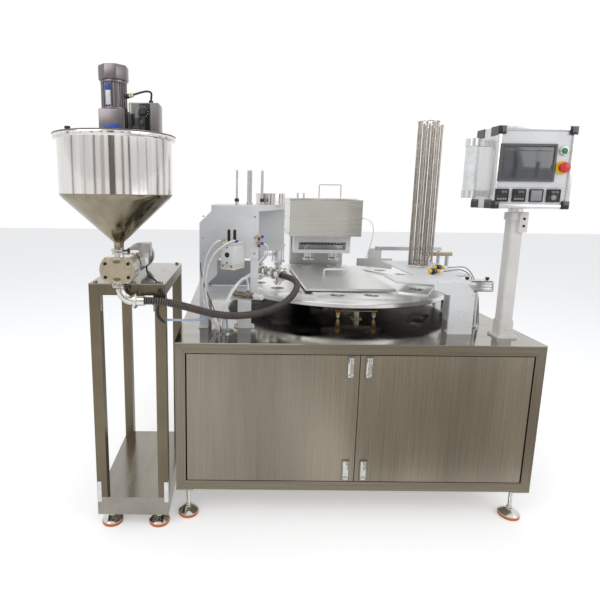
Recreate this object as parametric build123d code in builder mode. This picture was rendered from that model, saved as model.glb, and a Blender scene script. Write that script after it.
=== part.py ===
from build123d import *
from math import cos, radians, sin
import os

# Filling and sealing machine: a rotary cup machine on a steel cabinet, with a hopper and pump stand beside it.
# Millimetres. X runs right, Y runs back and Z runs up. The origin is the middle of the outline, on the floor.
# Places are given from the cabinet's front left corner on the floor, through the plane called ground.

# Cabinet
CABINET_WIDTH = 1450
CABINET_DEPTH = 1600
CABINET_BASE = 138
TABLE_HEIGHT = 764
TUBE = 40
TUBE_WALL = 2
TABLE_SHEET = 3
TABLE_LIP = 1.5
PANEL_SHEET = 1.5
FLOOR_SHEET = 3
GUSSET = 70
GUSSET_SHEET = 4

# Doors and their paddle latches
DOOR_DEPTH = 18
DOOR_SHEET = 1.5
DOOR_GAP = 3
HINGE_GAP = 6
HINGE_INSET = 9
HINGE_PIN_RADIUS = 4
HINGE_PIN_LENGTH = 10
RUNNING_FIT = 0.08
LATCH_WIDTH = 24
LATCH_HEIGHT = 82
LATCH_THICKNESS = 5
LATCH_FROM_SPLIT = 36
LATCH_FROM_EDGE = 8
LATCH_PIN_RADIUS = 1.2
LATCH_PIN_DROP = 8
BEZEL_RIM = 4
BEZEL_THICKNESS = 4
LATCH_GAP = 0.8

# Levelling feet
FOOT_RADIUS = 42
FOOT_INSET = 45
RUBBER_HEIGHT = 14
PAD_HEIGHT = 22
STEM_RADIUS = 8
NUT_SIZE = 24
NUT_HEIGHT = 12

# Turntable
DISC_X = 800
DISC_Y = 880
DISC_RADIUS = 605
DISC_THICKNESS = 21
DISC_BOTTOM = TABLE_HEIGHT + 73
STATIONS = 6
STATION_RADIUS = 455
CUP_PITCH = 164
POCKET_RADIUS = 34
POCKET_STEP = 3
MOULD_LENGTH = 384
MOULD_WIDTH = 140
MOULD_THICKNESS = 8
WINDOW_LENGTH = 300
WINDOW_WIDTH = 96
SHAFT_RADIUS = 60
SHAFT_BORE = 30
SHAFT_DEPTH = 190
FLANGE_RADIUS = 130
FLANGE_THICKNESS = 12
CENTRE_POST_RADIUS = 22
INDEXER_SIZE = 360
INDEXER_HEIGHT = 200
INDEXER_TOP = TABLE_HEIGHT - 24
PEDESTAL_SIZE = 260
MOTOR_RADIUS = 62
MOTOR_LENGTH = 210

# Fixed cover over the middle of the turntable
COVER_WIDTH = 440
COVER_FRONT = 495
COVER_BACK = 1235
COVER_HEIGHT = 12
COVER_SHEET = 2.5
COVER_CLEARANCE = 4
HANDLE_LENGTH = 120
HANDLE_HEIGHT = 34
HANDLE_RADIUS = 5

# Sensors under the turntable's front edge
SENSOR_POST = 24
SENSOR_RADIUS = 9
SENSOR_LENGTH = 62
SENSOR_SPACING = 168
SENSOR_ARM_Z = TABLE_HEIGHT + 36
SENSOR_REACH = 500
SENSOR_CLEARANCE = 6

# Filling station
FILL_FRAME_LEFT = 79
FILL_FRAME_RIGHT = 331
FILL_FRAME_FRONT = 244
FILL_REAR_RIGHT = 470
FILL_REAR = 545
FILL_TOP = TABLE_HEIGHT + 498
FILL_ARM_BOTTOM = TABLE_HEIGHT + 297
FILL_LEG = 38
FILL_SHOULDER = 75
FILL_SHOULDER_BOTTOM = TABLE_HEIGHT + 188
FILL_CHAMFER = 50
FILL_PLATE = 8
FILL_COVER_HEIGHT = 24
FILL_COVER_SHEET = 3
PLATFORM_TOP = TABLE_HEIGHT + 122
PLATFORM_SHEET = 8
PLATFORM_RIGHT = 338
FRONT_POST = 58
REAR_POST = 32
MAGAZINE_RADIUS = 36
MAGAZINE_ROD = 4
MAGAZINE_HEIGHT = 150
MAGAZINE_SPACING = 62
MAGAZINE_SETBACK = 140
VESSEL_RADIUS = 68
VESSEL_HEIGHT = 52
CYLINDER_WIDTH = 62
CYLINDER_DEPTH = 92
CYLINDER_HEIGHT = 92
CYLINDER_X = 222
CYLINDER_Y = 178
CYLINDER_TOP = TABLE_HEIGHT + 376
CYLINDER_TURN = -30
END_PLATE = 9
GUIDE_ROD = 7
SLIDE_GAP = 0.5
NOZZLE_RADIUS = 14
NOZZLE_BORE = 9
NOZZLE_TIP = TABLE_HEIGHT + 120
MANIFOLD_Z = TABLE_HEIGHT + 172
MANIFOLD_RADIUS = 19
MANIFOLD_REACH = 130
ACTUATOR_RADIUS = 22
ACTUATOR_BOTTOM = TABLE_HEIGHT + 236
ACTUATOR_HEIGHT = 82
MINI_RADIUS = 13
MINI_LENGTH = 105
MINI_START = (225, 287)
MINI_NOSE = 40
MINI_ROD = 5

# Sealing station
SEAL_COLUMN_WIDTH = 370
SEAL_COLUMN_DEPTH = 60
SEAL_COLUMN_GAP = 12
SEAL_BOX_WIDTH = 456
SEAL_BOX_BOTTOM = TABLE_HEIGHT + 312
SEAL_BOX_TOP = TABLE_HEIGHT + 548
SEAL_BOX_FRONT = 1195
SEAL_BOX_SHEET = 2
SEAL_DECK = 15
HEATER_WIDTH = 366
HEATER_TOP = TABLE_HEIGHT + 304
HEATER_BOTTOM = TABLE_HEIGHT + 194
HEATER_DEPTH = 96
HEATER_SLOT_WIDTH = 310
HEATER_SLOT_HEIGHT = 50
PRESS_ROD = 10
PISTON_ROD = 14
PRESS_ROD_SPACING = 240
STANDOFF_RADIUS = 9
TOOL_RADIUS = 38
TOOL_THICKNESS = 14
TOOL_BOTTOM = TABLE_HEIGHT + 144

# Lid station on the right
COLUMN_FRONT = 145
COLUMN_LEFT = 1124
COLUMN_RIGHT = 1225
COLUMN_PLATE = 10
COLUMN_TOP = TABLE_HEIGHT + 210
COLUMN_HEAD_LEFT = 1053
DECK_SHEET = 8
DECK_LEFT = 905
DECK_RIGHT = 1300
DECK_STEP = 335
DECK_BACK = 800
DECK_NECK = 1040
LID_BORE = 38
ROD_RADIUS = 4
ROD_COUNT = 10
ROD_CIRCLE = 44
ROD_LENGTH = 705
PLACER_BOTTOM = TABLE_HEIGHT + 132
PLACER_SHEET = 8
PLACER_PIN = 6
PROFILE_LENGTH = 128
PROFILE_WIDTH = 46
PROFILE_Y = 262
STOP_LENGTH = 55
STOP_ROD = 6
EYE_RADIUS = 9
EYE_LENGTH = 66

# Guard plate and outfeed at the back right
GUARD_LEFT = CABINET_WIDTH - 347
GUARD_Y = CABINET_DEPTH - TUBE
GUARD_WIDTH = 255
GUARD_STEP = TABLE_HEIGHT + 126
GUARD_TOP = TABLE_HEIGHT + 198
GUARD_NECK = 95
GUARD_SHEET = 2
OUTFEED_TOP = TABLE_HEIGHT + 256
OUTFEED_LENGTH = 150
OUTFEED_WIDTH = 80
OUTFEED_Y = 860
RAIL_LENGTH = 380
RAIL_Y = 970
OUTFEED_POST_X = CABINET_WIDTH - 25
OUTFEED_POST_RADIUS = 10

# Operator panel
PANEL_POST_X = CABINET_WIDTH - 105
PANEL_POST_Y = 132
PANEL_POST = 50
PANEL_BOX_WIDTH = 292
PANEL_BOX_HEIGHT = 300
PANEL_BOX_DEPTH = 150
PANEL_BOX_BOTTOM = TABLE_HEIGHT + 528
PANEL_BOX_SHIFT = 6
PANEL_BOX_WALL = 3
PANEL_NECK = 26
SOCKET_SIZE = 58
SOCKET_HEIGHT = 70
PANEL_BASE = 84
SCREEN_WIDTH = 212
SCREEN_HEIGHT = 138
SCREEN_SHIFT = -28
CONTROLLER_PITCH = 65.5
CONTROLLER_SIZE = 46
CONTROLLER_RISE = 48
BUTTON_RADIUS = 11
BUTTON_PROUD = 7
ESTOP_RADIUS = 20
ESTOP_PROUD = 26
CAP_SIZE = 32
CAP_DEPTH = 50
CAP_PROUD = 2
GRIP_RADIUS = 17
GRIP_REACH = 60
GRIP_END = 40

# Pump stand
STAND_LEFT = -306
STAND_WIDTH = 282
STAND_FRONT = -55
STAND_DEPTH = 520
STAND_TOP = 1005
SHELF_Z = 138
STAND_SHEET = 4
SHELF_LIP = 72

# Pump and its pipework
PUMP_X = -180
PUMP_Y = -90
PUMP_Z = 1066
PUMP_RADIUS = 62
PUMP_FLAT = 46
PUMP_LENGTH = 90
GEAR_HALF = 45
GEAR_LENGTH = 80
GEAR_RISE = 50
COVER_PLATE = 14
PORT_RADIUS = 17
PORT_WALL = 2
CLAMP_RADIUS = 26
ELBOW_FALL = 70
ELBOW_RADIUS = 46
SLEEVE_RADIUS = 19
DRIVE_RADIUS = 48
DRIVE_LENGTH = 260

# Hopper with its agitator
HOPPER_RADIUS = 190
HOPPER_RIM = 203
HOPPER_RIM_HEIGHT = 12
HOPPER_SEAM = 1325
HOPPER_TOP = 1520
HOPPER_OUTLET = 1160
HOPPER_WALL = 2
LID_SHEET = 3
AGITATOR_SHAFT = 9
GEARBOX_SIZE = 90
GEARBOX_HEIGHT = 84
AGITATOR_MOTOR = 44
AGITATOR_MOTOR_HEIGHT = 90
FAN_CAP_HEIGHT = 50
BOX_WIDTH = 104
BOX_DEPTH = 70
BOX_HEIGHT = 112
FLAP_WIDTH = 120
FLAP_DEPTH = 110
KNOB_RADIUS = 12

# Hoses and tubes
HOSE_RADIUS = 15
AIR_TUBE_RADIUS = 7
CABLE_RADIUS = 5
SEAL_TUBE_RADIUS = 3
GROMMET_HEIGHT = 6
GROMMET_RADIUS = 44
GROMMET_PLACE = (184, 154)
SEAL_GROMMET = (1144, CABINET_DEPTH - 100)
PORT_STUB = 8
TUBE_PORT_Z = TABLE_HEIGHT + 276
MINI_PORT = (290, 238)

# Places worked out from the sizes above
SPAN_LEFT = PUMP_X - HOPPER_RIM
PANEL_X = PANEL_POST_X + PANEL_BOX_SHIFT
SPAN_RIGHT = PANEL_X + PANEL_BOX_WIDTH / 2 + CAP_PROUD
SPAN_FRONT = PUMP_Y - HOPPER_RIM
SPAN_BACK = CABINET_DEPTH
GROUND = (-(SPAN_LEFT + SPAN_RIGHT) / 2, -(SPAN_FRONT + SPAN_BACK) / 2, 0)
FRAME_TOP = TABLE_HEIGHT - TABLE_SHEET
OPENING_BOTTOM = CABINET_BASE + TUBE
OPENING_TOP = FRAME_TOP - TUBE
DISC_TOP = DISC_BOTTOM + DISC_THICKNESS
MOULD_TOP = DISC_TOP + MOULD_THICKNESS
COVER_BOTTOM = MOULD_TOP + COVER_CLEARANCE
COVER_TOP = COVER_BOTTOM + COVER_HEIGHT
STAND_RIGHT = STAND_LEFT + STAND_WIDTH
STAND_BACK = STAND_FRONT + STAND_DEPTH
STATION_STEP = 360 / STATIONS
SEAL_Y = DISC_Y + STATION_RADIUS
HEAD_Y = SEAL_BOX_FRONT + 115
ELBOW_DROP = PUMP_Z - PUMP_FLAT - ELBOW_FALL
COLUMN_Y = DISC_Y + DISC_RADIUS + SEAL_COLUMN_GAP

ground = Plane(origin=GROUND)


def block(x, y, z, mode=Mode.ADD):
    """Add a box between the limits (low, high) along each axis."""
    middle = ((x[0] + x[1]) / 2, (y[0] + y[1]) / 2, (z[0] + z[1]) / 2)
    with Locations(middle):
        Box(x[1] - x[0], y[1] - y[0], z[1] - z[0], mode=mode)


def disc(centre, radius, z, mode=Mode.ADD):
    """Add an upright cylinder between two heights."""
    with Locations((centre[0], centre[1], (z[0] + z[1]) / 2)):
        Cylinder(radius, z[1] - z[0], mode=mode)


def facing(x, y, z, z_dir, x_dir=None):
    """Return the plane at a place measured from the cabinet's corner."""
    return Plane(origin=ground.from_local_coords(Vector(x, y, z)), x_dir=x_dir, z_dir=z_dir)


def bar(start, end, radius, mode=Mode.ADD):
    """Add a round bar between two places."""
    run = Vector(*end) - Vector(*start)
    with BuildSketch(facing(*start, run)) as section:
        Circle(radius)
    extrude(section.sketch, amount=run.length, mode=mode)


def station(angle, height):
    """Return the plane of one cup station: X along the row of cups, Y towards the middle."""
    turn = radians(angle)
    x = DISC_X + STATION_RADIUS * cos(turn)
    y = DISC_Y + STATION_RADIUS * sin(turn)
    return facing(x, y, height, (0, 0, 1), (-sin(turn), cos(turn), 0))


# Cabinet frame: two mitred portals joined by the side rails, welded into one
def portal_member(corners, y):
    """Add one mitred square tube from its outline and the outline of its hollow."""
    outline, hollow = corners
    with BuildSketch(facing(0, y, 0, (0, -1, 0), (1, 0, 0))) as outside:
        with BuildLine():
            Polyline(*outline, close=True)
        make_face()
    extrude(outside.sketch, amount=-TUBE)
    with BuildSketch(facing(0, y + TUBE_WALL, 0, (0, -1, 0), (1, 0, 0))) as inside:
        with BuildLine():
            Polyline(*hollow, close=True)
        make_face()
    extrude(inside.sketch, amount=-(TUBE - 2 * TUBE_WALL), mode=Mode.SUBTRACT)


def portal_ring(inset):
    """Return the four corners of the portal, moved in by an amount."""
    low, high = CABINET_BASE + inset, FRAME_TOP - inset
    return [(inset, low), (CABINET_WIDTH - inset, low), (CABINET_WIDTH - inset, high), (inset, high)]


def portal(y):
    """Add the four mitred tubes of one portal."""
    outer, inner = portal_ring(0), portal_ring(TUBE)
    void_out, void_in = portal_ring(TUBE_WALL), portal_ring(TUBE - TUBE_WALL)
    for n in range(4):
        m = (n + 1) % 4
        portal_member(([outer[n], outer[m], inner[m], inner[n]],
                       [void_out[n], void_out[m], void_in[m], void_in[n]]), y)


with BuildPart(ground) as cabinet_frame:
    portal(0)
    portal(CABINET_DEPTH - TUBE)
    for rail_x in (0, CABINET_WIDTH - TUBE):
        for rail_z in (CABINET_BASE, FRAME_TOP - TUBE):
            block((rail_x, rail_x + TUBE), (TUBE, CABINET_DEPTH - TUBE), (rail_z, rail_z + TUBE))
            block((rail_x + TUBE_WALL, rail_x + TUBE - TUBE_WALL), (TUBE, CABINET_DEPTH - TUBE),
                  (rail_z + TUBE_WALL, rail_z + TUBE - TUBE_WALL), Mode.SUBTRACT)
    for pin_x in (TUBE + HINGE_GAP + HINGE_INSET, CABINET_WIDTH - TUBE - HINGE_GAP - HINGE_INSET):
        disc((pin_x, HINGE_INSET), HINGE_PIN_RADIUS, (OPENING_BOTTOM, OPENING_BOTTOM + HINGE_PIN_LENGTH))
        disc((pin_x, HINGE_INSET), HINGE_PIN_RADIUS, (OPENING_TOP - HINGE_PIN_LENGTH, OPENING_TOP))

# Panels: sides and back set in the frame, the floor on the bottom rails, and foot plates under the corners
with BuildPart(ground) as cabinet_panels:
    for panel_x in (0, CABINET_WIDTH - PANEL_SHEET):
        block((panel_x, panel_x + PANEL_SHEET), (TUBE, CABINET_DEPTH - TUBE), (OPENING_BOTTOM, OPENING_TOP))
    block((TUBE, CABINET_WIDTH - TUBE), (CABINET_DEPTH - PANEL_SHEET, CABINET_DEPTH),
          (OPENING_BOTTOM, OPENING_TOP))
    block((TUBE, CABINET_WIDTH - TUBE), (TUBE, CABINET_DEPTH - TUBE),
          (OPENING_BOTTOM - FLOOR_SHEET, OPENING_BOTTOM))
    for gusset_x in (0, CABINET_WIDTH - GUSSET):
        for gusset_y in (0, CABINET_DEPTH - GUSSET):
            block((gusset_x, gusset_x + GUSSET), (gusset_y, gusset_y + GUSSET),
                  (CABINET_BASE - GUSSET_SHEET, CABINET_BASE))

# Table top: a polished sheet whose rolled lip hangs just outside the frame
with BuildPart(ground) as table_top:
    block((-TABLE_LIP, CABINET_WIDTH + TABLE_LIP), (-TABLE_LIP, CABINET_DEPTH), (FRAME_TOP, TABLE_HEIGHT))
    fillet(table_top.edges().filter_by(Axis.Z), TUBE / 10)
    disc((DISC_X, DISC_Y), SHAFT_RADIUS + TUBE / 2, (FRAME_TOP, TABLE_HEIGHT), Mode.SUBTRACT)
    disc(GROMMET_PLACE, GROMMET_RADIUS, (TABLE_HEIGHT, TABLE_HEIGHT + GROMMET_HEIGHT))
    disc(SEAL_GROMMET, GROMMET_RADIUS / 3, (TABLE_HEIGHT, TABLE_HEIGHT + GROMMET_HEIGHT))


# Levelling feet of the cabinet and of the stand: rubber, cone pad, threaded stem with its nut
def foot_places():
    """Return every foot as (x, y, height of the plate that it carries)."""
    places = []
    for x in (FOOT_INSET, CABINET_WIDTH - FOOT_INSET):
        for y in (FOOT_INSET, CABINET_DEPTH - FOOT_INSET):
            places.append((x, y, CABINET_BASE - GUSSET_SHEET))
    for x in (STAND_LEFT + FOOT_INSET, STAND_RIGHT - FOOT_INSET):
        for y in (STAND_FRONT + FOOT_INSET, STAND_BACK - FOOT_INSET):
            places.append((x, y, SHELF_Z - STAND_SHEET))
    return places


with BuildPart(ground) as foot_rubbers:
    for foot_x, foot_y, _ in foot_places():
        disc((foot_x, foot_y), FOOT_RADIUS, (0, RUBBER_HEIGHT))
    chamfer(foot_rubbers.edges().group_by(Axis.Z)[0], RUBBER_HEIGHT / 4)

with BuildPart(ground) as levelling_feet:
    for foot_x, foot_y, seat in foot_places():
        with Locations((foot_x, foot_y, RUBBER_HEIGHT + PAD_HEIGHT / 2)):
            Cone(FOOT_RADIUS - 1, STEM_RADIUS + 5, PAD_HEIGHT)
        disc((foot_x, foot_y), STEM_RADIUS, (RUBBER_HEIGHT + PAD_HEIGHT, seat))
        with BuildSketch(facing(foot_x, foot_y, seat - NUT_HEIGHT, (0, 0, 1))):
            RegularPolygon(NUT_SIZE / 2, 6)
        extrude(amount=NUT_HEIGHT)


# Doors: folded trays hung on pivot pins at their outer edges, with two latch bezels each
SPLIT = CABINET_WIDTH / 2
LEFT_DOOR = (TUBE + HINGE_GAP, SPLIT - DOOR_GAP / 2)
RIGHT_DOOR = (SPLIT + DOOR_GAP / 2, CABINET_WIDTH - TUBE - HINGE_GAP)
DOOR_Z = (OPENING_BOTTOM + DOOR_GAP, OPENING_TOP - DOOR_GAP)
LATCH_LOW = (DOOR_Z[0] + LATCH_FROM_EDGE, DOOR_Z[0] + LATCH_FROM_EDGE + LATCH_HEIGHT)
LATCH_HIGH = (DOOR_Z[1] - LATCH_FROM_EDGE - LATCH_HEIGHT, DOOR_Z[1] - LATCH_FROM_EDGE)


def latch_x(side):
    """Return the limits of a latch paddle along X, left door -1 and right door 1."""
    middle = SPLIT + side * LATCH_FROM_SPLIT
    return (middle - LATCH_WIDTH / 2, middle + LATCH_WIDTH / 2)


def door(limits, pin_x, side):
    """Add a door tray with its pivot holes and latch bezels."""
    block(limits, (0, DOOR_DEPTH), DOOR_Z)
    block((limits[0] + DOOR_SHEET, limits[1] - DOOR_SHEET), (DOOR_SHEET, DOOR_DEPTH),
          (DOOR_Z[0] + DOOR_SHEET, DOOR_Z[1] - DOOR_SHEET), Mode.SUBTRACT)
    for z in (LATCH_LOW, LATCH_HIGH):
        x = latch_x(side)
        rim = BEZEL_RIM
        block((x[0] - rim, x[1] + rim), (-BEZEL_THICKNESS, 0), (z[0] - rim, z[1] + rim))
        block((x[0] - LATCH_GAP, x[1] + LATCH_GAP), (-BEZEL_THICKNESS, DOOR_SHEET),
              (z[0] - LATCH_GAP, z[1] + LATCH_GAP), Mode.SUBTRACT)
        hinge = (-BEZEL_THICKNESS / 2, z[1] - LATCH_PIN_DROP)
        bar((x[0] - rim / 2 - LATCH_GAP, *hinge), (x[1] + rim / 2 + LATCH_GAP, *hinge),
            LATCH_PIN_RADIUS + RUNNING_FIT, Mode.SUBTRACT)
    disc((pin_x, HINGE_INSET), HINGE_PIN_RADIUS + RUNNING_FIT, DOOR_Z, Mode.SUBTRACT)


with BuildPart(ground) as left_door:
    door(LEFT_DOOR, LEFT_DOOR[0] + HINGE_INSET, -1)

with BuildPart(ground) as right_door:
    door(RIGHT_DOOR, RIGHT_DOOR[1] - HINGE_INSET, 1)


def latch(side, z):
    """Add a latch paddle with its own short hinge pin."""
    x = latch_x(side)
    block(x, (-LATCH_THICKNESS, 0), z)
    hinge = (-BEZEL_THICKNESS / 2, z[1] - LATCH_PIN_DROP)
    bar((x[0] - BEZEL_RIM / 2, *hinge), (x[1] + BEZEL_RIM / 2, *hinge), LATCH_PIN_RADIUS)


with BuildPart(ground) as left_latch_lower:
    latch(-1, LATCH_LOW)
with BuildPart(ground) as left_latch_upper:
    latch(-1, LATCH_HIGH)
with BuildPart(ground) as right_latch_lower:
    latch(1, LATCH_LOW)
with BuildPart(ground) as right_latch_upper:
    latch(1, LATCH_HIGH)

# Indexer: cam box on its pedestal, with its geared motor and the fixed post through the hollow shaft
INDEXER_BOTTOM = INDEXER_TOP - INDEXER_HEIGHT
SHAFT_BOTTOM = DISC_BOTTOM - SHAFT_DEPTH
with BuildPart(ground) as indexer:
    half, foot = INDEXER_SIZE / 2, PEDESTAL_SIZE / 2
    block((DISC_X - half, DISC_X + half), (DISC_Y - half, DISC_Y + half), (INDEXER_BOTTOM, INDEXER_TOP))
    fillet(indexer.edges().filter_by(Axis.Z), INDEXER_SIZE / 18)
    disc((DISC_X, DISC_Y), SHAFT_RADIUS + RUNNING_FIT, (SHAFT_BOTTOM, INDEXER_TOP), Mode.SUBTRACT)
    block((DISC_X - foot, DISC_X + foot), (DISC_Y - foot, DISC_Y + foot), (OPENING_BOTTOM, INDEXER_BOTTOM))
    disc((DISC_X, DISC_Y), CENTRE_POST_RADIUS, (INDEXER_BOTTOM, COVER_TOP - COVER_SHEET))
    bar((DISC_X + half, DISC_Y, INDEXER_BOTTOM + INDEXER_HEIGHT / 2),
        (DISC_X + half + MOTOR_LENGTH, DISC_Y, INDEXER_BOTTOM + INDEXER_HEIGHT / 2), MOTOR_RADIUS)

# Turntable shaft: hollow, with the flange that carries the disc
with BuildPart(ground) as turntable_shaft:
    disc((DISC_X, DISC_Y), SHAFT_RADIUS, (SHAFT_BOTTOM + RUNNING_FIT, DISC_BOTTOM))
    disc((DISC_X, DISC_Y), FLANGE_RADIUS, (DISC_BOTTOM - FLANGE_THICKNESS, DISC_BOTTOM))
    disc((DISC_X, DISC_Y), SHAFT_BORE, (SHAFT_BOTTOM, DISC_BOTTOM), Mode.SUBTRACT)

# Turntable disc: one plate with a window under each mould plate
with BuildPart(ground) as turntable_disc:
    disc((DISC_X, DISC_Y), DISC_RADIUS, (DISC_BOTTOM, DISC_TOP))
    chamfer(turntable_disc.edges().filter_by(GeomType.CIRCLE), DISC_THICKNESS / 10)
    disc((DISC_X, DISC_Y), SHAFT_BORE, (DISC_BOTTOM, DISC_TOP), Mode.SUBTRACT)
    for n in range(STATIONS):
        with BuildSketch(station(-90 + n * STATION_STEP, DISC_BOTTOM)):
            RectangleRounded(WINDOW_LENGTH, WINDOW_WIDTH, WINDOW_WIDTH / 4)
        extrude(amount=DISC_THICKNESS, mode=Mode.SUBTRACT)

# Mould plates: one per station, each with two cup pockets that have a seat for the cup's rim
with BuildPart(ground) as mould_plates:
    for n in range(STATIONS):
        with BuildSketch(station(-90 + n * STATION_STEP, DISC_TOP)):
            Rectangle(MOULD_LENGTH, MOULD_WIDTH)
            with GridLocations(CUP_PITCH, 0, 2, 1):
                Circle(POCKET_RADIUS, mode=Mode.SUBTRACT)
        extrude(amount=MOULD_THICKNESS)
        with BuildSketch(station(-90 + n * STATION_STEP, MOULD_TOP)):
            with GridLocations(CUP_PITCH, 0, 2, 1):
                Circle(POCKET_RADIUS + POCKET_STEP)
        extrude(amount=-MOULD_THICKNESS / 4, mode=Mode.SUBTRACT)

# Centre cover: a fixed tray on the centre post, with a lifting handle
with BuildPart(ground) as centre_cover:
    cover_x = (DISC_X - COVER_WIDTH / 2, DISC_X + COVER_WIDTH / 2)
    block(cover_x, (COVER_FRONT, COVER_BACK), (COVER_BOTTOM, COVER_TOP))
    block((cover_x[0] + COVER_SHEET, cover_x[1] - COVER_SHEET),
          (COVER_FRONT + COVER_SHEET, COVER_BACK - COVER_SHEET),
          (COVER_BOTTOM, COVER_TOP - COVER_SHEET), Mode.SUBTRACT)
    grip = HANDLE_LENGTH / 2
    with BuildLine(facing(DISC_X, DISC_Y, COVER_TOP, (0, -1, 0), (1, 0, 0))) as grip_line:
        FilletPolyline((-grip, 0), (-grip, HANDLE_HEIGHT), (grip, HANDLE_HEIGHT), (grip, 0), radius=12)
    with BuildSketch(facing(DISC_X - grip, DISC_Y, COVER_TOP, (0, 0, 1))):
        Circle(HANDLE_RADIUS)
    sweep(path=grip_line.wires()[0])


# Filling frame: front and rear plates with their shoulders, the platform between them and its posts
def fill_plate(y, right):
    """Add an arched side plate that stands on the table."""
    left = FILL_FRAME_LEFT
    with BuildSketch(facing(0, y, 0, (0, -1, 0), (1, 0, 0))) as outline:
        with BuildLine():
            Polyline((left, TABLE_HEIGHT), (left, FILL_TOP - FILL_CHAMFER),
                     (left + FILL_CHAMFER, FILL_TOP), (right, FILL_TOP), (right, FILL_ARM_BOTTOM),
                     (left + FILL_SHOULDER, FILL_ARM_BOTTOM),
                     (left + FILL_SHOULDER, FILL_SHOULDER_BOTTOM + FILL_LEG),
                     (left + FILL_LEG, FILL_SHOULDER_BOTTOM), (left + FILL_LEG, TABLE_HEIGHT), close=True)
        make_face()
    extrude(outline.sketch, amount=-FILL_PLATE)


turned = facing(CYLINDER_X, CYLINDER_Y, CYLINDER_TOP, (0, 0, 1),
                (cos(radians(CYLINDER_TURN)), sin(radians(CYLINDER_TURN)), 0))
with BuildPart(ground) as filling_frame:
    fill_plate(FILL_FRAME_FRONT, FILL_FRAME_RIGHT)
    fill_plate(FILL_REAR - FILL_PLATE, FILL_REAR_RIGHT)
    block((FILL_FRAME_LEFT, PLATFORM_RIGHT), (FILL_FRAME_FRONT + FILL_PLATE, FILL_REAR - FILL_PLATE),
          (PLATFORM_TOP - PLATFORM_SHEET, PLATFORM_TOP))
    block((FILL_FRAME_LEFT, FILL_FRAME_LEFT + FILL_PLATE),
          (FILL_FRAME_FRONT + FILL_PLATE, FILL_REAR - FILL_PLATE), (FILL_ARM_BOTTOM, FILL_TOP - FILL_CHAMFER))
    post_x = PLATFORM_RIGHT - FRONT_POST - 35
    block((post_x, post_x + FRONT_POST), (FILL_FRAME_FRONT - FRONT_POST + 20, FILL_FRAME_FRONT + 20),
          (TABLE_HEIGHT, PLATFORM_TOP - PLATFORM_SHEET))
    block((post_x, post_x + FRONT_POST), (FILL_FRAME_FRONT - FRONT_POST + 20, FILL_FRAME_FRONT + FILL_PLATE),
          (PLATFORM_TOP - PLATFORM_SHEET, PLATFORM_TOP))
    block((FILL_FRAME_RIGHT - REAR_POST, FILL_FRAME_RIGHT),
          (FILL_FRAME_FRONT + FILL_PLATE, FILL_FRAME_FRONT + FILL_PLATE + REAR_POST),
          (PLATFORM_TOP, FILL_ARM_BOTTOM + TUBE))
    back_left = turned.from_local_coords(Vector(-CYLINDER_WIDTH / 2, CYLINDER_DEPTH / 2, 0))
    back_right = turned.from_local_coords(Vector(CYLINDER_WIDTH / 2, CYLINDER_DEPTH / 2, 0))
    plate_y = GROUND[1] + FILL_FRAME_FRONT
    with BuildSketch(Plane.XY.offset(CYLINDER_TOP - END_PLATE)):
        with BuildLine():
            Polyline((back_left.X, back_left.Y), (back_right.X, back_right.Y),
                     (back_right.X, plate_y), (back_left.X, plate_y), close=True)
        make_face()
    extrude(amount=-CYLINDER_HEIGHT + END_PLATE)

# Top cover of the filling station: a folded lid whose right edge follows the rear plate
with BuildPart(ground) as filling_top_cover:
    cover_left = FILL_FRAME_LEFT + FILL_CHAMFER
    with BuildSketch(ground.offset(FILL_TOP)):
        with BuildLine():
            Polyline((cover_left, FILL_FRAME_FRONT), (FILL_FRAME_RIGHT, FILL_FRAME_FRONT),
                     (FILL_REAR_RIGHT, FILL_REAR - FILL_PLATE), (FILL_REAR_RIGHT, FILL_REAR),
                     (cover_left, FILL_REAR), close=True)
        make_face()
    extrude(amount=FILL_COVER_HEIGHT)
    offset(amount=-FILL_COVER_SHEET, openings=filling_top_cover.faces().sort_by(Axis.Z)[0],
           mode=Mode.REPLACE)

# Film magazines: upright rods round two stacks of film lids, with a round bowl behind them
MAGAZINE_X = FILL_FRAME_RIGHT - 7
MAGAZINE_Y = FILL_FRAME_FRONT + MAGAZINE_SETBACK
VESSEL_X = FILL_REAR_RIGHT - VESSEL_RADIUS - 8
VESSEL_Y = FILL_REAR - VESSEL_RADIUS - 4
COVER_LID_TOP = FILL_TOP + FILL_COVER_HEIGHT
with BuildPart(ground) as film_magazine:
    disc((VESSEL_X, VESSEL_Y), VESSEL_RADIUS, (COVER_LID_TOP, COVER_LID_TOP + VESSEL_HEIGHT))
    disc((VESSEL_X, VESSEL_Y), VESSEL_RADIUS - FILL_COVER_SHEET,
         (COVER_LID_TOP + FILL_COVER_SHEET, COVER_LID_TOP + VESSEL_HEIGHT), Mode.SUBTRACT)
    for n in range(2):
        for turn in (45, 135, 225, 315):
            spot = (MAGAZINE_X - n * MAGAZINE_SPACING + MAGAZINE_RADIUS * cos(radians(turn)),
                    MAGAZINE_Y + MAGAZINE_RADIUS * sin(radians(turn)))
            disc(spot, MAGAZINE_ROD, (COVER_LID_TOP, COVER_LID_TOP + MAGAZINE_HEIGHT))
            disc(spot, MAGAZINE_ROD * 2, (COVER_LID_TOP, COVER_LID_TOP + MAGAZINE_ROD * 3))

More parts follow.
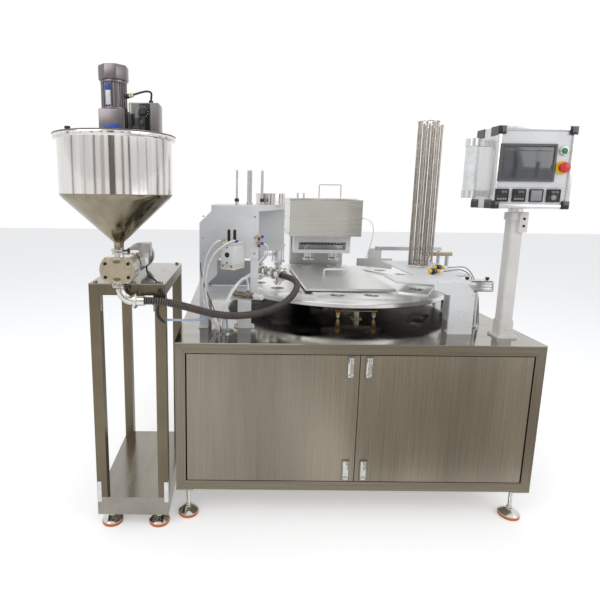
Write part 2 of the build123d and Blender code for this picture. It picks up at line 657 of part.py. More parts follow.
# Air cylinders: the guided one on its wedge, and a small one on a saddle on the platform
CYLINDER_BODY = END_PLATE + CYLINDER_HEIGHT
ROD_SPREAD = CYLINDER_DEPTH - 4 * GUIDE_ROD
MINI_Z = PLATFORM_TOP + MINI_RADIUS + 3
MINI_END = (MINI_START[0] + 0.8 * MINI_LENGTH, MINI_START[1] - 0.6 * MINI_LENGTH)
with BuildPart(ground) as air_cylinders:
    with BuildSketch(turned):
        RectangleRounded(CYLINDER_WIDTH, CYLINDER_DEPTH, GUIDE_ROD / 2)
    extrude(amount=-CYLINDER_BODY)
    with BuildSketch(turned.offset(-CYLINDER_BODY)):
        with GridLocations(0, ROD_SPREAD, 1, 2):
            Circle(GUIDE_ROD + RUNNING_FIT)
    extrude(amount=CYLINDER_HEIGHT, mode=Mode.SUBTRACT)
    bar((*MINI_START, MINI_Z), (*MINI_END, MINI_Z), MINI_RADIUS)
    disc((MINI_START[0] + 0.4 * MINI_LENGTH, MINI_START[1] - 0.3 * MINI_LENGTH), MINI_RADIUS,
         (PLATFORM_TOP, MINI_Z))
    disc(MINI_PORT, AIR_TUBE_RADIUS - 1, (MINI_Z, MINI_Z + MINI_RADIUS + PORT_STUB))
    bar((MINI_START[0] + 16, MINI_START[1] - 12, MINI_Z), (*MINI_END, MINI_Z), MINI_ROD + RUNNING_FIT,
        Mode.SUBTRACT)

# Sliding tool plate under the guided cylinder
with BuildPart() as guided_slide:
    with BuildSketch(turned.offset(-CYLINDER_BODY - SLIDE_GAP)):
        RectangleRounded(CYLINDER_WIDTH, CYLINDER_DEPTH, GUIDE_ROD / 2)
    extrude(amount=-END_PLATE)
    with BuildSketch(turned.offset(-CYLINDER_BODY - SLIDE_GAP)):
        with GridLocations(0, ROD_SPREAD, 1, 2):
            Circle(GUIDE_ROD)
    extrude(amount=CYLINDER_HEIGHT - END_PLATE)

# Filling valve: a manifold over one station with two nozzles, hung from an air actuator above each
fill_station = station(210, 0)
LEVER_PLATE = 10
with BuildPart() as filling_manifold:
    with BuildSketch(fill_station.offset(NOZZLE_TIP)):
        with GridLocations(CUP_PITCH, 0, 2, 1):
            Circle(NOZZLE_RADIUS)
    extrude(amount=ACTUATOR_BOTTOM - NOZZLE_TIP)
    manifold_end = Plane(origin=fill_station.from_local_coords(Vector(-CUP_PITCH / 2, 0, MANIFOLD_Z)),
                         x_dir=(0, 0, 1), z_dir=fill_station.x_dir)
    manifold_run = CUP_PITCH / 2 + MANIFOLD_REACH
    with BuildSketch(manifold_end):
        Circle(MANIFOLD_RADIUS)
    extrude(amount=manifold_run)
    with BuildSketch(manifold_end.offset(manifold_run - LEVER_PLATE)):
        Circle(CLAMP_RADIUS)
    extrude(amount=LEVER_PLATE)
    with BuildSketch(fill_station.offset(NOZZLE_TIP)):
        with GridLocations(CUP_PITCH, 0, 2, 1):
            Circle(NOZZLE_BORE)
    extrude(amount=MANIFOLD_Z - NOZZLE_TIP, mode=Mode.SUBTRACT)

ACTUATOR_TOP = ACTUATOR_BOTTOM + ACTUATOR_HEIGHT
with BuildPart() as filling_actuators:
    with BuildSketch(fill_station.offset(ACTUATOR_BOTTOM)):
        with GridLocations(CUP_PITCH, 0, 2, 1):
            Circle(ACTUATOR_RADIUS)
    extrude(amount=ACTUATOR_HEIGHT)
    with BuildSketch(fill_station.offset(ACTUATOR_BOTTOM)):
        with GridLocations(CUP_PITCH, 0, 2, 1):
            RectangleRounded(2 * ACTUATOR_RADIUS + 8, 2 * ACTUATOR_RADIUS + 8, 6)
    extrude(amount=LEVER_PLATE)
    with BuildSketch(fill_station.offset(ACTUATOR_TOP)):
        Rectangle(CUP_PITCH + 2 * ACTUATOR_RADIUS + 6, 2 * ACTUATOR_RADIUS + 8)
    extrude(amount=LEVER_PLATE)
    with BuildSketch(Plane(origin=fill_station.from_local_coords(Vector(CUP_PITCH / 2, 0, TUBE_PORT_Z)),
                           z_dir=-fill_station.y_dir)):
        Circle(AIR_TUBE_RADIUS + 1)
    extrude(amount=ACTUATOR_RADIUS + PORT_STUB)
    with BuildSketch(ground.offset(ACTUATOR_TOP + LEVER_PLATE)):
        with Locations((FILL_REAR_RIGHT - 45, FILL_REAR + 50)):
            Rectangle(90, 100)
    extrude(amount=LEVER_PLATE)

# Rod of the small air cylinder, with its plastic nose
with BuildPart(ground) as mini_cylinder_rod:
    bar((MINI_START[0] + 20, MINI_START[1] - 15, MINI_Z),
        (MINI_END[0] + 8, MINI_END[1] - 6, MINI_Z), MINI_ROD)
    bar((MINI_END[0] + 8, MINI_END[1] - 6, MINI_Z),
        (MINI_END[0] + 8 + 0.8 * MINI_NOSE, MINI_END[1] - 6 - 0.6 * MINI_NOSE, MINI_Z), MINI_RADIUS)

# Sealing column behind the turntable, and the press deck with its cylinder inside the head box
HEAD_X = (DISC_X - SEAL_BOX_WIDTH / 2, DISC_X + SEAL_BOX_WIDTH / 2)
with BuildPart(ground) as sealing_column:
    column_x = (DISC_X - SEAL_COLUMN_WIDTH / 2, DISC_X + SEAL_COLUMN_WIDTH / 2)
    block(column_x, (COLUMN_Y, COLUMN_Y + SEAL_COLUMN_DEPTH), (TABLE_HEIGHT, SEAL_BOX_TOP))
    fillet(sealing_column.edges().filter_by(Axis.Z), 6)
    block((HEAD_X[0] + SEAL_BOX_SHEET, HEAD_X[1] - SEAL_BOX_SHEET),
          (SEAL_BOX_FRONT + SEAL_BOX_SHEET, COLUMN_Y - SEAL_BOX_SHEET),
          (SEAL_BOX_BOTTOM, SEAL_BOX_BOTTOM + SEAL_DECK))
    disc((DISC_X, SEAL_Y), 3 * PISTON_ROD, (SEAL_BOX_BOTTOM + SEAL_DECK, SEAL_BOX_TOP - 30))
    disc((DISC_X, SEAL_Y), PISTON_ROD + RUNNING_FIT, (SEAL_BOX_BOTTOM, SEAL_BOX_TOP - 50), Mode.SUBTRACT)
    for side in (-1, 1):
        disc((DISC_X + side * PRESS_ROD_SPACING / 2, SEAL_Y), PRESS_ROD + RUNNING_FIT,
             (SEAL_BOX_BOTTOM, SEAL_BOX_BOTTOM + SEAL_DECK), Mode.SUBTRACT)

# Head box: a folded cover open below, with its wire handle, two vent studs and a cable gland
with BuildPart(ground) as sealing_head:
    block(HEAD_X, (SEAL_BOX_FRONT, COLUMN_Y), (SEAL_BOX_BOTTOM, SEAL_BOX_TOP))
    fillet(sealing_head.edges().filter_by(Axis.Z), SEAL_BOX_SHEET)
    block((HEAD_X[0] + SEAL_BOX_SHEET, HEAD_X[1] - SEAL_BOX_SHEET),
          (SEAL_BOX_FRONT + SEAL_BOX_SHEET, COLUMN_Y - SEAL_BOX_SHEET),
          (SEAL_BOX_BOTTOM, SEAL_BOX_TOP - SEAL_BOX_SHEET), Mode.SUBTRACT)
    with BuildLine(facing(DISC_X + 40, HEAD_Y, SEAL_BOX_TOP, (0, -1, 0), (1, 0, 0))) as wire_line:
        FilletPolyline((-70, 0), (-70, 88), (70, 88), (70, 0), radius=8)
    with BuildSketch(facing(DISC_X - 30, HEAD_Y, SEAL_BOX_TOP, (0, 0, 1))):
        Circle(HANDLE_RADIUS - 1)
    sweep(path=wire_line.wires()[0])
    for stud in (HEAD_X[0] + 60, HEAD_X[0] + 100):
        disc((stud, HEAD_Y), STANDOFF_RADIUS - 3, (SEAL_BOX_TOP, SEAL_BOX_TOP + 34))
    bar((HEAD_X[1], HEAD_Y, SEAL_BOX_BOTTOM + 110), (HEAD_X[1] + 22, HEAD_Y, SEAL_BOX_BOTTOM + 110),
        STANDOFF_RADIUS + 5)

# Heater frame: slotted frame on two press rods and the piston rod
with BuildPart(ground) as heater_frame:
    heater_y = (SEAL_Y - HEATER_DEPTH / 2, SEAL_Y + HEATER_DEPTH / 2)
    block((DISC_X - HEATER_WIDTH / 2, DISC_X + HEATER_WIDTH / 2), heater_y, (HEATER_BOTTOM, HEATER_TOP))
    slot_bottom = HEATER_BOTTOM + (HEATER_WIDTH - HEATER_SLOT_WIDTH) / 2.5
    block((DISC_X - HEATER_SLOT_WIDTH / 2, DISC_X + HEATER_SLOT_WIDTH / 2), heater_y,
          (slot_bottom, slot_bottom + HEATER_SLOT_HEIGHT), Mode.SUBTRACT)
    disc((DISC_X, SEAL_Y), PISTON_ROD, (HEATER_TOP, SEAL_BOX_BOTTOM + 140))
    for side in (-1, 1):
        disc((DISC_X + side * PRESS_ROD_SPACING / 2, SEAL_Y), PRESS_ROD, (HEATER_TOP, SEAL_BOX_BOTTOM + 120))

# Sealing tools: a round heating disc on a stand-off over each cup
with BuildPart(ground) as sealing_tools:
    for side in (-1, 1):
        spot = (DISC_X + side * CUP_PITCH / 2, SEAL_Y)
        disc(spot, TOOL_RADIUS, (TOOL_BOTTOM, TOOL_BOTTOM + TOOL_THICKNESS))
        disc(spot, STANDOFF_RADIUS * 2, (TOOL_BOTTOM + TOOL_THICKNESS, HEATER_BOTTOM))

# Lid column: a front plate with a chamfered head and a side plate behind it
with BuildPart(ground) as lid_column:
    with BuildSketch(facing(0, COLUMN_FRONT, 0, (0, -1, 0), (1, 0, 0))):
        with BuildLine():
            Polyline((COLUMN_LEFT, TABLE_HEIGHT), (COLUMN_RIGHT, TABLE_HEIGHT),
                     (COLUMN_RIGHT, COLUMN_TOP - 34), (COLUMN_RIGHT - 33, COLUMN_TOP),
                     (COLUMN_HEAD_LEFT, COLUMN_TOP), (COLUMN_HEAD_LEFT, COLUMN_TOP - 19),
                     (COLUMN_LEFT - 14, COLUMN_TOP - 43), (COLUMN_LEFT, COLUMN_TOP - 43), close=True)
        make_face()
    extrude(amount=-COLUMN_PLATE)
    block((COLUMN_RIGHT - COLUMN_PLATE, COLUMN_RIGHT),
          (COLUMN_FRONT + COLUMN_PLATE, PROFILE_Y + 3 * PROFILE_WIDTH), (TABLE_HEIGHT, COLUMN_TOP - 34))
    block((COLUMN_RIGHT - 33 - COLUMN_PLATE, COLUMN_RIGHT - COLUMN_PLATE),
          (PROFILE_Y + PROFILE_WIDTH, PROFILE_Y + 3 * PROFILE_WIDTH), (COLUMN_TOP - 80, COLUMN_TOP))
    bar((COLUMN_RIGHT - COLUMN_PLATE, PROFILE_Y, COLUMN_TOP - PROFILE_WIDTH / 2),
        (COLUMN_RIGHT, PROFILE_Y, COLUMN_TOP - PROFILE_WIDTH / 2), STOP_ROD * 2, Mode.SUBTRACT)

# Lid deck: a flat plate with a bore under each lid magazine and holes for the placer's pins
lid_station = station(-30, 0)
DECK_TOP = COLUMN_TOP + DECK_SHEET
with BuildPart() as lid_deck:
    with BuildSketch(ground.offset(COLUMN_TOP)):
        with BuildLine():
            Polyline((DECK_LEFT, COLUMN_FRONT + 45), (COLUMN_HEAD_LEFT, COLUMN_FRONT),
                     (COLUMN_RIGHT, COLUMN_FRONT), (COLUMN_RIGHT, DECK_STEP), (DECK_RIGHT, DECK_STEP),
                     (DECK_RIGHT, DECK_BACK), (DECK_NECK, DECK_BACK), (DECK_NECK, DECK_STEP),
                     (DECK_LEFT, DECK_STEP), close=True)
        make_face()
    extrude(amount=DECK_SHEET)
    with BuildSketch(lid_station.offset(COLUMN_TOP)):
        with GridLocations(CUP_PITCH, 0, 2, 1):
            Circle(LID_BORE)
        with GridLocations(0, LID_BORE * 2, 1, 2):
            Circle(PLACER_PIN + RUNNING_FIT)
    extrude(amount=DECK_SHEET, mode=Mode.SUBTRACT)

with BuildPart() as lid_magazine_rods:
    with BuildSketch(lid_station.offset(DECK_TOP)):
        with GridLocations(CUP_PITCH, 0, 2, 1):
            with PolarLocations(ROD_CIRCLE, ROD_COUNT):
                Circle(ROD_RADIUS)
    extrude(amount=ROD_LENGTH)

# Lid placer: a plate with two bores that comes down over the cups on its guide pins
with BuildPart() as lid_placer:
    with BuildSketch(lid_station.offset(PLACER_BOTTOM)):
        RectangleRounded(CUP_PITCH + 3 * LID_BORE - 20, 5 * LID_BORE, LID_BORE / 4)
        with GridLocations(CUP_PITCH, 0, 2, 1):
            Circle(LID_BORE, mode=Mode.SUBTRACT)
    extrude(amount=PLACER_SHEET)
    with BuildSketch(lid_station.offset(PLACER_BOTTOM + PLACER_SHEET)):
        with GridLocations(0, LID_BORE * 2, 1, 2):
            Circle(PLACER_PIN)
    extrude(amount=DECK_TOP - PLACER_BOTTOM - PLACER_SHEET + 40)

# Profile cylinder: square body beside the column, with its support post and two black knobs on top
PROFILE_Z = COLUMN_TOP - PROFILE_WIDTH / 2
with BuildPart(ground) as profile_cylinder:
    half = PROFILE_WIDTH / 2
    block((COLUMN_RIGHT, COLUMN_RIGHT + PROFILE_LENGTH), (PROFILE_Y - half, PROFILE_Y + half),
          (PROFILE_Z - half, PROFILE_Z + half))
    fillet(profile_cylinder.edges().filter_by(Axis.X), 5)
    bar((COLUMN_RIGHT, PROFILE_Y, PROFILE_Z), (COLUMN_RIGHT + PROFILE_LENGTH - 10, PROFILE_Y, PROFILE_Z),
        STOP_ROD + RUNNING_FIT, Mode.SUBTRACT)
    for knob in (20, PROFILE_LENGTH - 20):
        disc((COLUMN_RIGHT + knob, PROFILE_Y), 8, (PROFILE_Z + half, PROFILE_Z + half + 14))
    disc((COLUMN_RIGHT + PROFILE_LENGTH / 2, PROFILE_Y), STANDOFF_RADIUS,
         (TABLE_HEIGHT, PROFILE_Z - half))

with BuildPart(ground) as lid_stop:
    stop_x = COLUMN_RIGHT - COLUMN_PLATE - 10
    bar((stop_x, PROFILE_Y, PROFILE_Z), (COLUMN_RIGHT + PROFILE_LENGTH - 15, PROFILE_Y, PROFILE_Z), STOP_ROD)
    block((stop_x - STOP_LENGTH, stop_x), (PROFILE_Y - 17, PROFILE_Y + 17),
          (PROFILE_Z - 8, PROFILE_Z + 8))

# Sensors: two upright under the cups on a post with a cross bar, and two level ones on the lid deck
SENSOR_Y = DISC_Y - SENSOR_REACH
with BuildPart(ground) as machine_sensors:
    half = SENSOR_POST / 2
    block((DISC_X - half, DISC_X + half), (SENSOR_Y - half, SENSOR_Y + half),
          (TABLE_HEIGHT, SENSOR_ARM_Z))
    block((DISC_X - SENSOR_SPACING / 2 - half, DISC_X + SENSOR_SPACING / 2 + half),
          (SENSOR_Y - half, SENSOR_Y + half), (SENSOR_ARM_Z, SENSOR_ARM_Z + 4))
    for side in (-1, 1):
        spot = (DISC_X + side * SENSOR_SPACING / 2, SENSOR_Y)
        top = DISC_BOTTOM - SENSOR_CLEARANCE
        disc(spot, SENSOR_RADIUS, (top - SENSOR_LENGTH, top))
        disc(spot, SENSOR_RADIUS + 4, (SENSOR_ARM_Z + 4, SENSOR_ARM_Z + 9))
        disc(spot, SENSOR_RADIUS + 4, (SENSOR_ARM_Z - 5, SENSOR_ARM_Z))
    for eye_x, eye_y in ((1188, 483), (1115, 361)):
        bar((eye_x, eye_y, DECK_TOP + EYE_RADIUS + 5), (eye_x + EYE_LENGTH, eye_y, DECK_TOP + EYE_RADIUS + 5),
            EYE_RADIUS)
        block((eye_x + 12, eye_x + 26), (eye_y - EYE_RADIUS, eye_y + EYE_RADIUS),
              (DECK_TOP, DECK_TOP + EYE_RADIUS))

# Guard plate at the back edge and the outfeed table with its rail
with BuildPart(ground) as rear_guides:
    guard_mid = GUARD_LEFT + GUARD_WIDTH / 2
    guard_y = (GUARD_Y, GUARD_Y + GUARD_SHEET)
    block((GUARD_LEFT, GUARD_LEFT + GUARD_WIDTH), guard_y, (TABLE_HEIGHT, GUARD_STEP))
    block((guard_mid - GUARD_NECK / 2, guard_mid + GUARD_NECK / 2), guard_y, (GUARD_STEP, GUARD_TOP))
    block((guard_mid - GUARD_NECK, guard_mid + GUARD_NECK), (GUARD_Y, GUARD_Y + 20),
          (TABLE_HEIGHT, TABLE_HEIGHT + GUARD_SHEET))
    post_span = (OUTFEED_POST_X - OUTFEED_LENGTH, OUTFEED_POST_X + OUTFEED_POST_RADIUS)
    block(post_span, (OUTFEED_Y - OUTFEED_WIDTH / 2, OUTFEED_Y + OUTFEED_WIDTH / 2),
          (OUTFEED_TOP - 6, OUTFEED_TOP))
    disc((OUTFEED_POST_X, OUTFEED_Y), OUTFEED_POST_RADIUS, (TABLE_HEIGHT, OUTFEED_TOP - 6))
    block((OUTFEED_POST_X + OUTFEED_POST_RADIUS - RAIL_LENGTH, OUTFEED_POST_X + OUTFEED_POST_RADIUS),
          (RAIL_Y - 15, RAIL_Y + 15), (OUTFEED_TOP, OUTFEED_TOP + 20))
    disc((OUTFEED_POST_X, RAIL_Y), OUTFEED_POST_RADIUS, (TABLE_HEIGHT, OUTFEED_TOP))

# Operator panel post: base plate, socket, square post and collar with a swivel spigot
COLLAR_TOP = PANEL_BOX_BOTTOM - 18
with BuildPart(facing(PANEL_POST_X, PANEL_POST_Y, 0, (0, 0, 1))) as panel_post:
    half = PANEL_BASE / 2
    block((-half, half), (-half, half), (TABLE_HEIGHT, TABLE_HEIGHT + 8))
    fillet(panel_post.edges().filter_by(Axis.Z), 10)
    for size, low, high in ((SOCKET_SIZE, TABLE_HEIGHT + 8, TABLE_HEIGHT + SOCKET_HEIGHT),
                            (PANEL_POST, TABLE_HEIGHT + SOCKET_HEIGHT, COLLAR_TOP - 30),
                            (SOCKET_SIZE + 2, COLLAR_TOP - 30, COLLAR_TOP)):
        with BuildSketch(facing(PANEL_POST_X, PANEL_POST_Y, low, (0, 0, 1))):
            RectangleRounded(size, size, size / 6)
        extrude(amount=high - low)
    disc((0, 0), 15, (COLLAR_TOP, COLLAR_TOP + 14))

# Operator panel box: a deep aluminium case open in front, on its swivel neck, with a tube grip at its left
PANEL_FRONT = PANEL_POST_Y - PANEL_BOX_DEPTH / 2
PANEL_LOW, PANEL_HIGH = PANEL_BOX_BOTTOM, PANEL_BOX_BOTTOM + PANEL_BOX_HEIGHT
BOX_X = (PANEL_X - PANEL_BOX_WIDTH / 2, PANEL_X + PANEL_BOX_WIDTH / 2)
with BuildPart(ground) as panel_box:
    wall = PANEL_BOX_WALL
    block(BOX_X, (PANEL_FRONT, PANEL_FRONT + PANEL_BOX_DEPTH), (PANEL_LOW, PANEL_HIGH))
    block((BOX_X[0] + wall, BOX_X[1] - wall), (PANEL_FRONT, PANEL_FRONT + PANEL_BOX_DEPTH - wall),
          (PANEL_LOW + wall, PANEL_HIGH - wall), Mode.SUBTRACT)
    disc((PANEL_POST_X, PANEL_POST_Y), PANEL_NECK, (COLLAR_TOP + SLIDE_GAP, PANEL_LOW))
    disc((PANEL_POST_X, PANEL_POST_Y), 15 + RUNNING_FIT, (COLLAR_TOP, PANEL_LOW), Mode.SUBTRACT)
    grip_x = BOX_X[0] - GRIP_REACH
    grip_z = (PANEL_LOW + GRIP_END, PANEL_HIGH - GRIP_END)
    disc((grip_x, PANEL_POST_Y), GRIP_RADIUS, grip_z)
    for z in (grip_z[0] + 14, grip_z[1] - 14):
        block((grip_x, BOX_X[0]), (PANEL_POST_Y - 12, PANEL_POST_Y + 12), (z - 12, z + 12))

# Black corner caps: shells that wrap the corners of the box, front and back
with BuildPart(ground) as panel_corner_caps:
    cap_x = ((BOX_X[0] - CAP_PROUD, BOX_X[0] + CAP_SIZE), (BOX_X[1] - CAP_SIZE, BOX_X[1] + CAP_PROUD))
    cap_z = ((PANEL_LOW - CAP_PROUD, PANEL_LOW + CAP_SIZE), (PANEL_HIGH - CAP_SIZE, PANEL_HIGH + CAP_PROUD))
    for x in cap_x:
        for z in cap_z:
            block(x, (PANEL_FRONT, PANEL_FRONT + CAP_DEPTH), z)
            block(x, (PANEL_FRONT + PANEL_BOX_DEPTH - CAP_DEPTH, PANEL_FRONT + PANEL_BOX_DEPTH), z)
    block(BOX_X, (PANEL_FRONT, PANEL_FRONT + PANEL_BOX_DEPTH), (PANEL_LOW, PANEL_HIGH), Mode.SUBTRACT)

# Face plate with the screen, four controllers and the seats of the two buttons
START_PLACE = (PANEL_X + 105, PANEL_LOW + 214)
ESTOP_PLACE = (PANEL_X + 105, PANEL_LOW + 152)
FACE_SHEET = 4
with BuildPart(ground) as panel_face:
    wall = PANEL_BOX_WALL
    block((BOX_X[0] + wall, BOX_X[1] - wall), (PANEL_FRONT + 2, PANEL_FRONT + 2 + FACE_SHEET),
          (PANEL_LOW + wall, PANEL_HIGH - wall))
    screen_z = PANEL_LOW + 169
    screen_x = PANEL_X + SCREEN_SHIFT
    block((screen_x - SCREEN_WIDTH / 2, screen_x + SCREEN_WIDTH / 2),
          (PANEL_FRONT - 3, PANEL_FRONT + 2), (screen_z - SCREEN_HEIGHT / 2, screen_z + SCREEN_HEIGHT / 2))
    for n in range(4):
        middle = PANEL_X + SCREEN_SHIFT / 2 + CONTROLLER_PITCH * (n - 1.5)
        half = CONTROLLER_SIZE / 2
        block((middle - half, middle + half), (PANEL_FRONT - 4, PANEL_FRONT + 2),
              (PANEL_LOW + CONTROLLER_RISE - half, PANEL_LOW + CONTROLLER_RISE + half))
    for place, radius in ((START_PLACE, BUTTON_RADIUS), (ESTOP_PLACE, ESTOP_RADIUS)):
        bar((place[0], PANEL_FRONT - 2, place[1]), (place[0], PANEL_FRONT + 2, place[1]), radius + 5)
        bar((place[0], PANEL_FRONT - 2, place[1]), (place[0], PANEL_FRONT + 2 + FACE_SHEET, place[1]),
            BUTTON_RADIUS + 0.3, Mode.SUBTRACT)

with BuildPart(ground) as start_button:
    bar((START_PLACE[0], PANEL_FRONT - BUTTON_PROUD, START_PLACE[1]),
        (START_PLACE[0], PANEL_FRONT + 12, START_PLACE[1]), BUTTON_RADIUS)
    chamfer(start_button.edges().sort_by(Axis.Y)[0], 1.5)

with BuildPart(ground) as estop_button:
    bar((ESTOP_PLACE[0], PANEL_FRONT - ESTOP_PROUD, ESTOP_PLACE[1]),
        (ESTOP_PLACE[0], PANEL_FRONT - 9, ESTOP_PLACE[1]), ESTOP_RADIUS)
    chamfer(estop_button.edges().sort_by(Axis.Y)[0], 4)
    bar((ESTOP_PLACE[0], PANEL_FRONT - 9, ESTOP_PLACE[1]),
        (ESTOP_PLACE[0], PANEL_FRONT + 12, ESTOP_PLACE[1]), BUTTON_RADIUS)

# Pump stand: four legs with a ring of rails under the top, and its two plates
LEG_TOP = STAND_TOP - STAND_SHEET
with BuildPart(ground) as stand_frame:
    for x in (STAND_LEFT, STAND_RIGHT - TUBE):
        for y in (STAND_FRONT, STAND_BACK - TUBE):
            block((x, x + TUBE), (y, y + TUBE), (SHELF_Z, LEG_TOP))
        block((x, x + TUBE), (STAND_FRONT, STAND_BACK), (LEG_TOP - TUBE, LEG_TOP))
    for y in (STAND_FRONT, STAND_BACK - TUBE):
        block((STAND_LEFT, STAND_RIGHT), (y, y + TUBE), (LEG_TOP - TUBE, LEG_TOP))

with BuildPart(ground) as stand_plates:
    block((STAND_LEFT, STAND_RIGHT), (STAND_FRONT, STAND_BACK), (STAND_TOP - STAND_SHEET, STAND_TOP))
    for x in (STAND_LEFT + TUBE / 2, STAND_RIGHT - TUBE / 2):
        for y in (STAND_FRONT + TUBE / 2, STAND_BACK - TUBE / 2):
            disc((x, y), STEM_RADIUS, (STAND_TOP, STAND_TOP + 5))
    block((STAND_LEFT, STAND_RIGHT), (STAND_FRONT, STAND_BACK), (SHELF_Z - STAND_SHEET - SHELF_LIP, SHELF_Z))
    block((STAND_LEFT + STAND_SHEET, STAND_RIGHT - STAND_SHEET),
          (STAND_FRONT + STAND_SHEET, STAND_BACK - STAND_SHEET),
          (SHELF_Z - STAND_SHEET - SHELF_LIP, SHELF_Z - STAND_SHEET), Mode.SUBTRACT)

# Pump: flattened round body and cover, gearbox, motor and terminal box
BODY_FRONT = PUMP_Y - PORT_RADIUS - 12
BODY_BACK = BODY_FRONT + PUMP_LENGTH


def pump_outline(y):
    """Return the flattened circle of the pump, sketched on a plane that faces forward."""
    with BuildSketch(facing(PUMP_X, y, PUMP_Z, (0, -1, 0), (1, 0, 0))) as outline:
        Circle(PUMP_RADIUS)
        Rectangle(2 * PUMP_RADIUS, 2 * PUMP_FLAT, mode=Mode.INTERSECT)
    return outline.sketch


with BuildPart(ground) as pump_body:
    block((PUMP_X - GEAR_HALF, PUMP_X + GEAR_HALF), (BODY_BACK, BODY_BACK + GEAR_LENGTH),
          (STAND_TOP, PUMP_Z + GEAR_RISE))
    fillet(pump_body.edges().filter_by(Axis.Y).group_by(Axis.Z)[-1], 10)
    extrude(pump_outline(BODY_FRONT), amount=-PUMP_LENGTH)
    drive_start = BODY_BACK + GEAR_LENGTH
    bar((PUMP_X, drive_start, PUMP_Z), (PUMP_X, drive_start + DRIVE_LENGTH, PUMP_Z), DRIVE_RADIUS)
    block((PUMP_X - 35, PUMP_X + 35), (drive_start + 40, drive_start + DRIVE_LENGTH - 60),
          (STAND_TOP, PUMP_Z - DRIVE_RADIUS + 8))
    block((PUMP_X + GEAR_HALF, PUMP_X + 78), (BODY_BACK + 8, BODY_BACK + 72), (PUMP_Z, PUMP_Z + GEAR_RISE))
    block((PUMP_X + 55, PUMP_X + 92), (BODY_BACK + 8, BODY_BACK + 72), (PUMP_Z + 36, PUMP_Z + 84))

with BuildPart(ground) as pump_cover:
    extrude(pump_outline(BODY_FRONT), amount=COVER_PLATE)
    chamfer(pump_cover.edges().group_by(Axis.Y)[0], 1.5)
    for x in (-38, 38):
        for z in (-30, 30):
            bar((PUMP_X + x, BODY_FRONT - COVER_PLATE - 4, PUMP_Z + z),
                (PUMP_X + x, BODY_FRONT - COVER_PLATE, PUMP_Z + z), 4)

# Pipework: inlet tube with its clamp, and the outlet elbow with the hose sleeve
CLAMP_Z = HOPPER_OUTLET - 20
with BuildPart(ground) as pump_fittings:
    disc((PUMP_X, PUMP_Y), PORT_RADIUS, (PUMP_Z + PUMP_FLAT, CLAMP_Z))
    disc((PUMP_X, PUMP_Y), CLAMP_RADIUS, (CLAMP_Z - 12, CLAMP_Z))
    disc((PUMP_X, PUMP_Y), PORT_RADIUS - PORT_WALL, (PUMP_Z + PUMP_FLAT, CLAMP_Z), Mode.SUBTRACT)
    with BuildLine(facing(PUMP_X, PUMP_Y, 0, (0, -1, 0), (1, 0, 0))) as elbow_line:
        FilletPolyline((0, PUMP_Z - PUMP_FLAT), (0, ELBOW_DROP), (ELBOW_RADIUS + 4, ELBOW_DROP),
                       radius=ELBOW_RADIUS)
    with BuildSketch(facing(PUMP_X, PUMP_Y, PUMP_Z - PUMP_FLAT, (0, 0, 1))):
        Circle(PORT_RADIUS)
    sweep(path=elbow_line.wires()[0])
    sleeve_x = PUMP_X + ELBOW_RADIUS + 4
    bar((sleeve_x, PUMP_Y, ELBOW_DROP), (sleeve_x + 36, PUMP_Y, ELBOW_DROP), SLEEVE_RADIUS)

# Hopper shell: outlet, cone, cylinder and rolled rim, revolved from one wall
with BuildPart() as hopper_shell:
    with BuildSketch(facing(PUMP_X, PUMP_Y, 0, (0, -1, 0), (1, 0, 0))):
        with BuildLine():
            Polyline((PORT_RADIUS, CLAMP_Z), (PORT_RADIUS, HOPPER_OUTLET), (HOPPER_RADIUS, HOPPER_SEAM),
                     (HOPPER_RADIUS, HOPPER_TOP - HOPPER_RIM_HEIGHT),
                     (HOPPER_RIM, HOPPER_TOP - HOPPER_RIM_HEIGHT), (HOPPER_RIM, HOPPER_TOP),
                     (HOPPER_RADIUS - HOPPER_WALL, HOPPER_TOP), (HOPPER_RADIUS - HOPPER_WALL, HOPPER_SEAM + 1),
                     (PORT_RADIUS - HOPPER_WALL, HOPPER_OUTLET + 1), (PORT_RADIUS - HOPPER_WALL, CLAMP_Z),
                     close=True)
        make_face()
    revolve(axis=Axis(facing(PUMP_X, PUMP_Y, 0, (0, 0, 1)).origin, (0, 0, 1)))

# Hopper lid with its filling hole, and the hinged flap over it
LID_TOP = HOPPER_TOP + LID_SHEET
FLAP_HINGE_X = PUMP_X - GEARBOX_SIZE / 2 - 16
FLAP_X = (FLAP_HINGE_X - FLAP_WIDTH, FLAP_HINGE_X)
FLAP_Y = (PUMP_Y - FLAP_DEPTH / 2, PUMP_Y + FLAP_DEPTH / 2)
with BuildPart(ground) as hopper_lid:
    disc((PUMP_X, PUMP_Y), HOPPER_RIM, (HOPPER_TOP, LID_TOP))
    disc((PUMP_X, PUMP_Y), AGITATOR_SHAFT + 0.5, (HOPPER_TOP, LID_TOP), Mode.SUBTRACT)
    block((FLAP_X[0] + 12, FLAP_X[1] - 12), (FLAP_Y[0] + 12, FLAP_Y[1] - 12), (HOPPER_TOP, LID_TOP),
          Mode.SUBTRACT)

with BuildPart(ground) as hopper_flap:
    block(FLAP_X, FLAP_Y, (LID_TOP + 0.3, LID_TOP + 0.3 + LID_SHEET))
    fillet(hopper_flap.edges().filter_by(Axis.Z), 8)
    disc((FLAP_X[0] + 26, PUMP_Y), 7, (LID_TOP + 0.3 + LID_SHEET, LID_TOP + 22))
    disc((FLAP_X[0] + 26, PUMP_Y), 14, (LID_TOP + 22, LID_TOP + 34))

